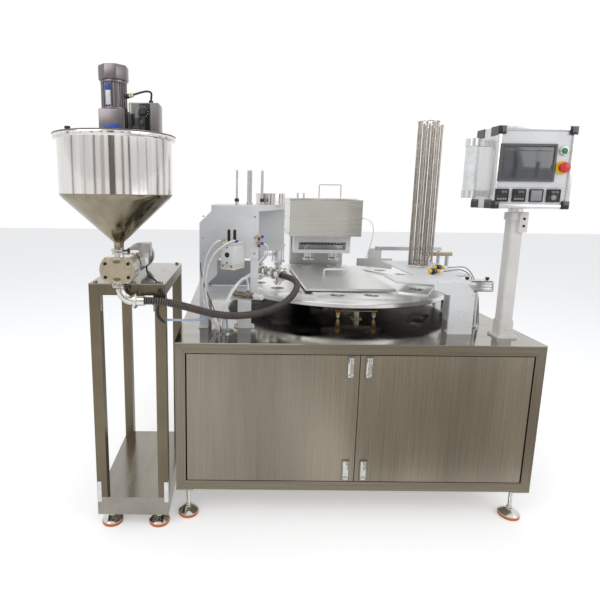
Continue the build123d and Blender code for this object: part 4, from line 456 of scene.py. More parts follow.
# The inner sheet stands for the station's rear plate, and its grey is painted shade
SHADE_SHEET = PowderCoat("grey_inner_sheet", "#A2A3A4", 0.46)
BLACK_LEAD = Moulded("black_cable_jacket", "#1A1A1C", 0.40, slot="black_hose")
BEZEL_GREY = Moulded("black_screen_bezel", "#141517", 0.22, coat=0.4)
SCREEN_DARK = Moulded("dark_controller_window", "#101216", 0.14, coat=0.5)
SCREEN_BAND = Moulded("dim_screen_band", "#585C61", 0.16, coat=0.5)
SEAL_GREY = Moulded("grey_lid_seal", "#6A6661", 0.45)
KNOB_GREY = Moulded("grey_moulded_knob", "#2A2B2E", 0.34)


class Bench:
    """Hand tools. Sizes are in millimetres from the cabinet's corner, and each piece ends at the origin."""

    @staticmethod
    def pick(*objects: Piece) -> None:
        """Select these objects alone, the last of them active."""
        bpy.ops.object.select_all(action="DESELECT")
        for obj in objects:
            obj.select_set(True)
        bpy.context.view_layer.objects.active = objects[-1]

    @staticmethod
    def settle(obj: Piece, name: str, bevel: float = 0.0, segments: int = 2) -> Piece:
        """Apply an object's place, round its sharp edges and name it.

        Args:
            obj: The object as it was shaped.
            name: The piece's name.
            bevel: The radius of its edges, in millimetres.
            segments: The steps in each rounded edge.

        Returns:
            The same object, at the origin.
        """
        Bench.pick(obj)
        bpy.ops.object.transform_apply(location=True, rotation=True, scale=True)
        obj.name = obj.data.name = name
        if bevel:
            rounding = obj.modifiers.new("rounding", "BEVEL")
            rounding.width = bevel * MM
            rounding.segments = segments
            rounding.limit_method = "ANGLE"
            rounding.angle_limit = math.radians(40)
            bpy.ops.object.modifier_apply(modifier=rounding.name)
        bpy.ops.object.shade_smooth_by_angle(angle=math.radians(35))
        return obj

    @staticmethod
    def block(name: str, x: Span, y: Span, z: Span, bevel: float = 1.0) -> Piece:
        """Make a block with rounded edges between limits along each axis."""
        bpy.ops.object.select_all(action="DESELECT")
        bpy.ops.mesh.primitive_cube_add(size=1)
        obj = bpy.context.object
        obj.scale = Vector((x[1] - x[0], y[1] - y[0], z[1] - z[0])) * MM
        obj.location = spot(sum(x) / 2, sum(y) / 2, sum(z) / 2)
        return Bench.settle(obj, name, bevel)

    @staticmethod
    def rod(name: str, start: Place, end: Place, radius: float, sides: int = 24,
            bevel: float = 0.8) -> Piece:
        """Make a round bar, or one with flats, with broken edges."""
        first, last = spot(*start), spot(*end)
        run = last - first
        bpy.ops.object.select_all(action="DESELECT")
        bpy.ops.mesh.primitive_cylinder_add(
            vertices=sides, radius=radius * MM, depth=run.length, location=(first + last) / 2,
            rotation=run.to_track_quat("Z", "Y").to_euler())
        return Bench.settle(bpy.context.object, name, bevel)

    @staticmethod
    def lathe(name: str, profile: list[Span], base: Place, axis: Axis | Vector = Axis.Z,
              steps: int = 32) -> Piece:
        """Turn a profile about an axis.

        Args:
            name: The piece's name.
            profile: Points as (radius, height along the axis), in millimetres.
            base: The axis's foot.
            axis: The way that the heights run.
            steps: The facets round the piece.

        Returns:
            The turned piece.
        """
        mesh = bpy.data.meshes.new(name)
        points = [(r * MM, 0.0, h * MM) for r, h in profile]
        mesh.from_pydata(points, [(i, i + 1) for i in range(len(points) - 1)], [])
        obj = bpy.data.objects.new(name, mesh)
        bpy.context.scene.collection.objects.link(obj)
        Bench.pick(obj)
        bpy.ops.object.mode_set(mode="EDIT")
        bpy.ops.mesh.select_all(action="SELECT")
        bpy.ops.mesh.spin(steps=steps, angle=math.tau, center=(0, 0, 0), axis=(0, 0, 1))
        bpy.ops.mesh.select_all(action="SELECT")
        bpy.ops.mesh.remove_doubles(threshold=0.00001)
        bpy.ops.mesh.normals_make_consistent(inside=False)
        bpy.ops.object.mode_set(mode="OBJECT")
        way = Vector(axis.value) if isinstance(axis, Axis) else axis
        obj.rotation_euler = way.to_track_quat("Z", "Y").to_euler()
        obj.location = spot(*base)
        return Bench.settle(obj, name)

    @staticmethod
    def join(name: str, parts: list[Piece]) -> Piece:
        """Join parts into one piece."""
        Bench.pick(*parts)
        if len(parts) > 1:
            bpy.ops.object.join()
        obj = bpy.context.object
        obj.name = obj.data.name = name
        return obj

    @staticmethod
    def copy(obj: Piece, name: str, move: Place = (0, 0, 0)) -> Piece:
        """Copy a piece with its own mesh and move it by millimetres."""
        twin = obj.copy()
        twin.data = obj.data.copy()
        twin.name = twin.data.name = name
        twin.data.transform(Matrix.Translation(Vector(move) * MM))
        bpy.context.scene.collection.objects.link(twin)
        return twin

    @staticmethod
    def repeat(name: str, first: Piece, places: list[Place]) -> Piece:
        """Join a piece that stands at the first of these places with its copies at the others."""
        twins = [Bench.copy(first, name, tuple(Vector(p) - Vector(places[0]))) for p in places[1:]]
        return Bench.join(name, [*twins, first])

    @staticmethod
    def screws(name: str, places: list[Place], axis: Axis, radius: float = 4.0,
               height: float = 3.0) -> Piece:
        """Make a set of socket screws that stand out along an axis."""
        profile = [(0, height * 0.35), (radius * 0.45, height * 0.35), (radius * 0.5, height),
                   (radius * 0.85, height), (radius, height * 0.7), (radius, 0), (0, 0)]
        return Bench.repeat(name, Bench.lathe(name, profile, places[0], axis, steps=12), places)

    @staticmethod
    def nurbs(name: str, points: list[Place], radius: float = 0.0) -> Piece:
        """Make a smooth curve through the pull of its points, with a round section if it has a radius."""
        curve = bpy.data.curves.new(name, "CURVE")
        curve.dimensions = "3D"
        curve.resolution_u = 12
        spline = curve.splines.new("NURBS")
        spline.points.add(len(points) - 1)
        for knot, place in zip(spline.points, points):
            knot.co = (*spot(*place), 1.0)
        spline.order_u = 3
        spline.use_endpoint_u = True
        if radius:
            curve.bevel_depth = radius * MM
            curve.bevel_resolution = 4
            curve.use_fill_caps = True
        obj = bpy.data.objects.new(name, curve)
        bpy.context.scene.collection.objects.link(obj)
        return obj

    @staticmethod
    def path(points: list[Place], step: float) -> list[Vector]:
        """Return evenly spaced points along the smooth line, in metres."""
        guide = Bench.nurbs("guide", points)
        mesh = bpy.data.meshes.new_from_object(guide)
        line = [v.co.copy() for v in mesh.vertices]
        bpy.data.objects.remove(guide)
        lengths = [0.0]
        for a, b in zip(line, line[1:]):
            lengths.append(lengths[-1] + (b - a).length)
        count = max(2, round(lengths[-1] / (step * MM)))
        even, at = [], 0
        for n in range(count + 1):
            target = lengths[-1] * n / count
            while at < len(line) - 2 and lengths[at + 1] < target:
                at += 1
            share = (target - lengths[at]) / max(1e-9, lengths[at + 1] - lengths[at])
            even.append(line[at].lerp(line[at + 1], min(1.0, share)))
        return even

    @staticmethod
    def frames(line: list[Vector]) -> list[tuple[Vector, Vector, Vector]]:
        """Return a point with two cross directions, carried along the line without twist."""
        carried = []
        side = None
        for n, point in enumerate(line):
            ahead = (line[min(n + 1, len(line) - 1)] - line[max(n - 1, 0)]).normalized()
            if side is None:
                side = ahead.orthogonal().normalized()
            side = (side - ahead * side.dot(ahead)).normalized()
            carried.append((point, side, ahead.cross(side)))
        return carried

    @staticmethod
    def tube(name: str, line: list[Vector], radii: list[float], sides: int = 20) -> Piece:
        """Make a closed tube along a line with a radius in millimetres at each of its points."""
        points, faces = [], []
        for (point, side, up), radius in zip(Bench.frames(line), radii):
            for k in range(sides):
                turn = math.tau * k / sides
                points.append(point + (side * math.cos(turn) + up * math.sin(turn)) * radius * MM)
        for n in range(len(line) - 1):
            for k in range(sides):
                a, b = n * sides + k, n * sides + (k + 1) % sides
                faces.append((a, b, b + sides, a + sides))
        faces.append(tuple(reversed(range(sides))))
        faces.append(tuple(range((len(line) - 1) * sides, len(line) * sides)))
        mesh = bpy.data.meshes.new(name)
        mesh.from_pydata([tuple(p) for p in points], [], faces)
        obj = bpy.data.objects.new(name, mesh)
        bpy.context.scene.collection.objects.link(obj)
        return Bench.settle(obj, name)


def fit(piece: Piece, body: str, finish: Finish, *nodes: str) -> Piece:
    """Dress a piece, make it ride on its body and report it.

    Args:
        piece: The finished mesh.
        body: The CAD body that it moves with.
        finish: Its surface.
        nodes: The CAD nodes that it stands for.

    Returns:
        The piece.
    """
    piece.data.materials.clear()
    piece.data.materials.append(finish.material())
    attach(piece, body)
    if nodes:
        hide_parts(*nodes)
    log.info("%s rides on %s", piece.name, body)
    return piece


def bolt(name: str, places: list[Place], axis: Axis, radius: float, height: float,
         body: str = "machine", finish: Finish = BRIGHT_STEEL) -> None:
    """Make a set of socket screws and dress it."""
    fit(Bench.screws(name, places, axis, radius, height), body, finish)


def lead(name: str, points: list[Place], radius: float, finish: Finish, body: str = "machine") -> None:
    """Args:
        name: The piece's name.
        points: The pull points of its line, in millimetres.
        radius: Half its thickness, in millimetres.
        finish: Its surface.
        body: The CAD body that it moves with.
    """
    line = Bench.path(points, 6.0)
    piece = fit(Bench.tube(name, line, [radius] * len(line), 10), body, finish)


def dress(frame: dict, finish: Finish, *nodes: str) -> None:
    """Give CAD nodes that stay in view their surface."""
    for node in nodes:
        obj = frame["nodes"][node]
        obj.data.materials.clear()
        obj.data.materials.append(finish.material())


@dataclass
class Studio:
    """The camera at the photograph's place, the pale floor and soft light."""

    focal_px: float = 461.56
    picture_px: float = 600.0
    middle_px: Span = (236.41, 272.86)
    place: Place = (232.16, -1717.88, 1332.47)
    pitch: float = 0.1686
    roll: float = 0.0110
    yaw: float = 0.0029
    sensor_mm: float = 36.0
    floor_lift: float = 0.34
    card_distance: float = 4.6

    def build(self) -> None:
        """Set up the whole studio."""
        self.camera()
        self.world()
        self.floor()
        self.lamps()
        self.cards()

    def camera(self) -> None:
        """Place the camera by its pitch, roll and yaw."""
        data = bpy.data.cameras.new("camera")
        data.sensor_width = self.sensor_mm
        data.lens = self.sensor_mm * self.focal_px / self.picture_px
        data.shift_x = (self.picture_px / 2 - self.middle_px[0]) / self.picture_px
        data.shift_y = (self.middle_px[1] - self.picture_px / 2) / self.picture_px
        data.clip_start, data.clip_end = 0.05, 60.0
        obj = bpy.data.objects.new("camera", data)
        bpy.context.scene.collection.objects.link(obj)
        sy, cy, sp, cp = (math.sin(self.yaw), math.cos(self.yaw), math.sin(self.pitch),
                          math.cos(self.pitch))
        level = Vector((cy, -sy, 0))
        ahead = Vector((sy * cp, cy * cp, -sp))
        down = Vector((-sp * sy, -sp * cy, -cp))
        right = level * math.cos(self.roll) - down * math.sin(self.roll)
        up = -(level * math.sin(self.roll) + down * math.cos(self.roll))
        turn = Matrix((right, up, -ahead)).transposed().to_4x4()
        obj.matrix_world = Matrix.Translation(spot(*self.place)) @ turn
        bpy.context.scene.camera = obj

    def world(self) -> None:
        """Light the scene evenly, with a white background for the camera and for reflections."""
        world = bpy.data.worlds.new("studio")
        bpy.context.scene.world = world
        world.use_nodes = True
        tree = world.node_tree
        tree.nodes.clear()
        light = add_node(tree, "ShaderNodeBackground", {"Color": linear("#F4F6FA"), "Strength": 0.55})
        white = add_node(tree, "ShaderNodeBackground", {"Color": (1, 1, 1, 1), "Strength": 1.0})
        mix = add_node(tree, "ShaderNodeMixShader", {0: seen_straight(tree), 1: light.outputs[0],
                                                     2: white.outputs[0]})
        add_node(tree, "ShaderNodeOutputWorld", {0: mix.outputs[0]})
        bpy.context.scene.view_settings.view_transform = "Standard"

    def floor(self) -> None:
        """Lay a pale floor that keeps the object's shadow."""
        bpy.ops.object.select_all(action="DESELECT")
        bpy.ops.mesh.primitive_plane_add(size=30)
        floor = bpy.context.object
        floor.name = "studio_floor"
        paint = bpy.data.materials.new("matt_white_floor_paint")
        paint.use_nodes = True
        tree = paint.node_tree
        tree.nodes.clear()
        coat = add_node(tree, "ShaderNodeBsdfDiffuse", {"Color": linear("#FAFAFA")})
        # The lamps light the coat to two thirds of white, and the lift adds the rest and no more
        lift = add_node(tree, "ShaderNodeEmission", {"Color": (1, 1, 1, 1), "Strength": self.floor_lift})
        both = add_node(tree, "ShaderNodeAddShader", {0: coat.outputs[0], 1: lift.outputs[0]})
        mix = add_node(tree, "ShaderNodeMixShader", {0: seen_straight(tree), 1: coat.outputs[0],
                                                     2: both.outputs[0]})
        add_node(tree, "ShaderNodeOutputMaterial", {0: mix.outputs[0]})
        floor.data.materials.append(paint)

    def lamps(self) -> None:
        """Hang three soft lamps: a key at the left, a fill at the right and one overhead."""
        middle = Vector((0, 0, 0.9))
        for name, place, size, watts in (("key", (-2.6, -3.2, 3.4), 2.6, 56.0),
                                         ("fill", (3.2, -2.8, 2.6), 2.8, 40.0),
                                         ("top", (0.0, 0.6, 4.2), 3.4, 34.0)):
            data = bpy.data.lights.new(name, "AREA")
            data.shape, data.size, data.energy = "SQUARE", size, watts
            lamp = bpy.data.objects.new(name, data)
            bpy.context.scene.collection.objects.link(lamp)
            lamp.location = place
            lamp.rotation_euler = (middle - lamp.location).to_track_quat("-Z", "Y").to_euler()

    def cards(self) -> None:
        """Stand warm cards round the room and lay one on the floor, for the polished metal to show."""
        for n, (turn, width, low, high, colour) in enumerate((
                (-4, 0.8, -0.2, 3.4, "#776D64"), (-19, 0.5, 0.2, 3.2, "#C6BFB4"),
                (-31, 0.3, 0.0, 3.4, "#9A9084"), (-47, 0.3, 0.0, 3.4, "#C9C5C1"),
                (14, 0.35, 0.0, 3.4, "#A4988A"), (26, 0.3, 0.0, 3.4, "#6A625C"),
                (44, 0.25, 0.0, 3.4, "#B5B0AC"), (64, 0.3, 0.0, 3.4, "#8F8B89"),
                (-70, 0.3, 0.0, 3.4, "#8E8A87"))):
            x, y = ring_place((0, 0), self.card_distance, turn - 90)
            self.card(f"studio_card_{n}", (x, y, (low + high) / 2), (math.pi / 2, 0, math.radians(turn)),
                      (width, high - low), colour)
        self.card("studio_floor_card", (1.25, -2.1, 0.004), (0, 0, 0), (1.9, 2.2), "#CFCAC2")

    def card(self, name: str, place: Place, turn: Place, size: Span, colour: str) -> None:
        """Set up a card that shows its colour in reflections and nowhere else."""
        bpy.ops.object.select_all(action="DESELECT")
        bpy.ops.mesh.primitive_plane_add(size=1, location=place, rotation=turn)
        card = bpy.context.object
        card.name = name
        card.scale = (*size, 1)
        board = bpy.data.materials.new(f"matt_{name}")
        board.use_nodes = True
        tree = board.node_tree
        tree.nodes.clear()
        shade = add_node(tree, "ShaderNodeEmission", {"Color": linear(colour)})
        add_node(tree, "ShaderNodeOutputMaterial", {0: shade.outputs[0]})
        card.data.materials.append(board)
        card.visible_camera = card.visible_diffuse = card.visible_shadow = False


@dataclass
class Hoses:
    """The product hose and the air tubes, each along its settled route."""

    hose_radius: float = 15.0
    rib_pitch: float = 8.4
    rib_depth: float = 3.0
    bundle_radius: float = 7.0
    cable_radius: float = 5.0
    seal_radius: float = 3.0

    def build(self) -> None:
        """Make every hose and tube."""
        self.product_hose()
        self.bundle("air_tubes_over_plate", self.upper_route(), self.bundle_radius, 3.1,
                    "air_tubes_upper", 4)
        self.bundle("air_tubes_to_small_cylinder", self.lower_route(), self.cable_radius, 2.4,
                    "air_tubes_lower", 3)
        self.stand_cable()
        self.seal_tube()

    def product_route(self) -> list[Place]:
        """Return the product hose's points."""
        end = station_place(FILL_ANGLE, 130, 0, MANIFOLD_LEVEL)
        before = station_place(FILL_ANGLE, 205, 0, MANIFOLD_LEVEL)
        return [(-94, -90, 950), (-30, -90, 950), (60, -42, 915), (150, 30, 870), (240, 108, 842),
                (340, 180, 836), (438, 241, 857), (500, 305, 895), (526, 388, 927), before, end]

    def upper_route(self) -> list[Place]:
        """Return the points of the tubes from the valve actuators."""
        start = station_place(FILL_ANGLE, 82, -30, 1040)
        after = station_place(FILL_ANGLE, 82, -75, 1040)
        return [start, after, (355, 505, 1020), (333, 447, 990), (308, 385, 970), (272, 318, 960),
                (238, 255, 944), (208, 205, 905), (190, 176, 852), (185, 170, 810), (185, 170, CORD_END)]

    def lower_route(self) -> list[Place]:
        """Return the points of the small cylinder's tubes."""
        return [(290, 238, 923), (290, 238, 976), (262, 196, 986), (228, 156, 946), (192, 134, 888),
                (174, 138, 828), (166, 146, 796), (166, 146, CORD_END)]

    def product_hose(self) -> None:
        """Make the ribbed hose from the pump's elbow to the filling manifold."""
        line = Bench.path(self.product_route(), self.rib_pitch / 6)
        shape = (0.0, 0.0, 0.75, 1.0, 1.0, 0.75)
        radii = [self.hose_radius - self.rib_depth * (1 - shape[n % 6]) for n in range(len(line))]
        hose = Bench.tube("ribbed_product_hose", line, radii, 22)
        # The rib attribute gives each ring's place on the rib, from which the hose's material paints shade
        # in the valleys and highlights on the crests
        rib = hose.data.attributes.new("rib", "FLOAT", "POINT")
        for n, value in enumerate(rib.data):
            value.value = shape[(n // 22) % 6]
        fit(hose, "machine", HOSE_RUBBER, "product_hose")

    def bundle(self, name: str, route: list[Place], radius: float, strand: float, node: str,
               count: int) -> None:
        """Make a bundle of soft tubes that lie round one line."""
        line = Bench.path(route, 8.0)
        carried = Bench.frames(line)
        parts = []
        for k in range(count):
            strands = []
            for n, (point, side, up) in enumerate(carried):
                turn = math.tau * (k / count + 0.35 * n / len(line))
                strands.append(point + (side * math.cos(turn) + up * math.sin(turn))
                               * (radius - strand) * MM)
            parts.append(Bench.tube(f"{name}_{k}", strands, [strand] * len(strands), 12))
        piece = Bench.join(name, parts)
        fit(piece, "machine", PALE_TUBE, node)

    def stand_cable(self) -> None:
        """Make the wrapped cable from the stand to the table's grommet."""
        route = [(-24, -35, 864), (14, -35, 864), (58, -14, 857), (95, 22, 850), (131, 60, 846),
                 (168, 99, 848), (202, 142, 838), (202, 142, CORD_END)]
        line = Bench.path(route, 1.5)
        radii = [self.cable_radius - (0.0 if n % 4 < 2 else 0.9) for n in range(len(line))]
        cable = Bench.tube("spiral_wrapped_cable", line, radii, 14)
        fit(cable, "machine", BLUE_TUBE, "stand_cable")

    def seal_tube(self) -> None:
        """Make the thin tube from the sealing head's gland down to its grommet."""
        route = [(1050, 1310, 1186), (1082, 1310, 1186), (1122, 1322, 1165), (1146, 1342, 1125),
                 (1154, 1368, 1072), (1152, 1400, 1018), (1149, 1436, 962), (1146, 1470, 905),
                 (1144, 1492, 850), (1144, 1500, 806), (1144, 1500, CORD_END)]
        line = Bench.path(route, 8.0)
        tube = Bench.tube("sealing_head_tube", line, [self.seal_radius] * len(line), 12)
        fit(tube, "machine", PALE_TUBE, "sealing_tube")


@dataclass
class Cabinet:
    """Chrome paddle latches on the doors and levelling feet under the cabinet and the stand."""

    split: float = 725.0
    latch_offset: float = 36.0
    latch_half: float = 12.0
    latch_levels: tuple[Span, Span] = ((189.0, 271.0), (628.0, 710.0))
    foot_radius: float = 42.0
    seat: float = 134.0
    feet: tuple[Span, ...] = ((45, 45), (1405, 45), (45, 1555), (1405, 1555), (-261, -10), (-69, -10),
                              (-261, 420), (-69, 420))

    def build(self) -> None:
        """Make the latches and the feet."""
        for side, hand in ((-1, "left"), (1, "right")):
            for (low, high), level in zip(self.latch_levels, ("lower", "upper")):
                self.latch(self.split + side * self.latch_offset, low, high, f"{hand}_latch_{level}")
        self.rubbers()
        self.stems()

    def latch(self, middle: float, low: float, high: float, node: str) -> None:
        """Make one paddle with its thumb lip, key barrel and hinge pin."""
        half = self.latch_half
        paddle = Bench.block("paddle", (middle - half, middle + half), (-5, -0.2), (low, high), 1.8)
        lip = Bench.block("lip", (middle - half + 1.5, middle + half - 1.5), (-9, -4), (low + 2, low + 13),
                          2.2)
        profile = [(0, 0.6), (1.1, 0.6), (1.3, 1.9), (5.4, 1.9), (6.2, 1.2), (6.2, -0.5), (0, -0.5)]
        barrel = Bench.lathe("barrel", profile, (middle, -5, high - 24), Axis.FRONT, 20)
        pin = Bench.rod("pin", (middle - half - 2, -2, high - 8), (middle + half + 2, -2, high - 8), 1.2,
                        12, 0)
        fit(Bench.join(f"{node}_paddle", [lip, barrel, pin, paddle]), node, LATCH_CHROME, node)

    def rubbers(self) -> None:
        """Make the ribbed rubber under every foot."""
        r = self.foot_radius
        profile = [(0, 0), (r - 4, 0), (r - 1, 1.2), (r, 3.5), (r, 6), (r - 1.4, 6.8), (r - 1.4, 7.8),
                   (r, 8.6), (r, 12), (r - 1.2, 13.8), (0, 13.8)]
        first = Bench.lathe("rubber", profile, (*self.feet[0], 0), steps=36)
        fit(Bench.repeat("foot_rubber_set", first, [(*foot, 0) for foot in self.feet]), "machine",
            FOOT_RUBBER, "foot_rubbers")

    def stems(self) -> None:
        """Make the cone pad, threaded stem and nuts of every foot."""
        r = self.foot_radius
        thread = []
        height = 36.0
        while height < self.seat - 1:
            thread += [(7.9, height), (7.1, height + 1.5)]
            height += 3.0
        profile = [(0, 13.8), (r - 1, 13.8), (r - 1, 16), (r - 5, 19), (19, 31), (13.5, 33), (13, 36),
                   *thread, (7.9, self.seat), (0, self.seat)]
        first = Bench.lathe("stem", profile, (*self.feet[0], 0), steps=20)
        nut = Bench.rod("nut", (*self.feet[0], self.seat - 12), (*self.feet[0], self.seat), 12, 6, 1.2)
        jam = Bench.rod("jam_nut", (*self.feet[0], 37), (*self.feet[0], 45), 12, 6, 1.2)
        foot = Bench.join("foot", [nut, jam, first])
        fit(Bench.repeat("levelling_foot_set", foot, [(*place, 0) for place in self.feet]), "machine",
            BRIGHT_STEEL, "levelling_feet")


@dataclass
class Turntable:
    """Cup liners and screws of the six mould plates, and the sensors under the front edge."""

    mould_top: float = 866.0
    pocket_radius: float = 34.0
    stations: tuple[float, ...] = (-90, -30, 30, 90, 150, 210)
    sensor_places: tuple[Span, Span] = ((716, 380), (884, 380))
    sensor_top: float = 831.0
    bar_level: Span = (800.0, 804.0)

    def build(self) -> None:
        """Make the liners, the screws and the sensors."""
        self.liners()
        self.plate_screws()
        self.under_sensors()

    def liners(self) -> None:
        """Make a pressed cup liner for every pocket."""
        r = self.pocket_radius
        profile = [(0, -19), (r - 7, -19), (r - 2.5, -16), (r - 0.8, -1.5), (r + 2.6, -1.0), (r + 2.6, 0.4),
                   (r - 1.4, 0.6), (r - 3.4, -1.4), (r - 4.6, -14.5), (r - 8, -17.6), (0, -17.6)]
        places = [station_place(angle, side * CUP_PITCH / 2, 0, self.mould_top)
                  for angle in self.stations for side in (-1, 1)]
        first = Bench.lathe("liner", profile, places[0], steps=36)
        fit(Bench.repeat("cup_liner_set", first, places), "turntable", LINER_STEEL)

    def plate_screws(self) -> None:
        """Make the four screws of each mould plate."""
        places = [station_place(angle, along, across, self.mould_top)
                  for angle in self.stations for along in (-178, 178) for across in (-54, 54)]
        bolt("mould_plate_screws", places, Axis.Z, 4.5, 1.6, "turntable")

    def under_sensors(self) -> None:
        """Make the two upright sensors with their post, its foot and the cross bar."""
        (left, y), (right, _) = self.sensor_places
        low, high = self.bar_level
        bar = Bench.block("bar", (left - 14, right + 14), (y - 10, y + 10), (low, high), 0.8)
        post = Bench.block("post", (788, 812), (y - 12, y + 12), (TABLE_TOP, low), 1.5)
        foot = Bench.block("foot", (776, 824), (y - 18, y + 18), (TABLE_TOP, TABLE_TOP + 4), 1.0)
        fit(Bench.join("sensor_post", [foot, post, bar]), "machine", SHEET, "machine_sensors")
        for n, (x, place_y) in enumerate(self.sensor_places):
            Sensor(f"upright_sensor_{n}", (x, place_y, self.sensor_top), Axis.DOWN).build()


@dataclass
class Sensor:
    """One threaded proximity sensor: yellow cap, barrel with two nuts, amber ring and plug."""

    name: str
    face: Place
    away: Axis
    length: float = 62.0
    radius: float = 9.0

    def along(self, distance: float) -> Place:
        """Return the place at a distance from the sensing face."""
        return tuple(Vector(self.face) + Vector(self.away.value) * distance)

    def ring(self, name: str, start: float, end: float, radius: float, sides: int = 28) -> Piece:
        """Make a round or hexagonal piece between two distances from the face."""
        return Bench.rod(name, self.along(start), self.along(end), radius, sides, 0.7)

    def build(self) -> None:
        """Make the sensor's pieces and give each its own finish."""
        r, end = self.radius, self.length
        cap = self.ring(f"{self.name}_cap", 0, 12, r + 0.3)
        fit(cap, "machine", YELLOW_PLASTIC)
        collar = self.ring(f"{self.name}_collar", 36, 50, r + 0.3)
        fit(collar, "machine", AMBER_PLASTIC)
        thread = []
        reach = 12.0
        while reach < end - 18:
            thread += [(r, reach), (r - 0.9, reach + 1.4)]
            reach += 2.8
        profile = [(0, 11), (r, 11), *thread, (r, end - 16), (r - 2, end - 12), (0, end - 12)]
        barrel = Bench.lathe(f"{self.name}_barrel", profile, self.face, self.away, 24)
        fit(barrel, "machine", BRIGHT_STEEL)
        nuts = [self.ring("nut", start, start + 5, r + 4, 6) for start in (22, 31)]
        fit(Bench.join(f"{self.name}_nuts", nuts), "machine", BLACK_PLASTIC)
        profile = [(0, end - 13), (r - 1.5, end - 13), (r - 1.5, end - 5), (r - 4, end - 1),
                   (3.2, end + 3), (0, end + 3)]
        plug = Bench.lathe(f"{self.name}_plug", profile, self.face, self.away, 20)
        fit(plug, "machine", WHITE_PLASTIC)


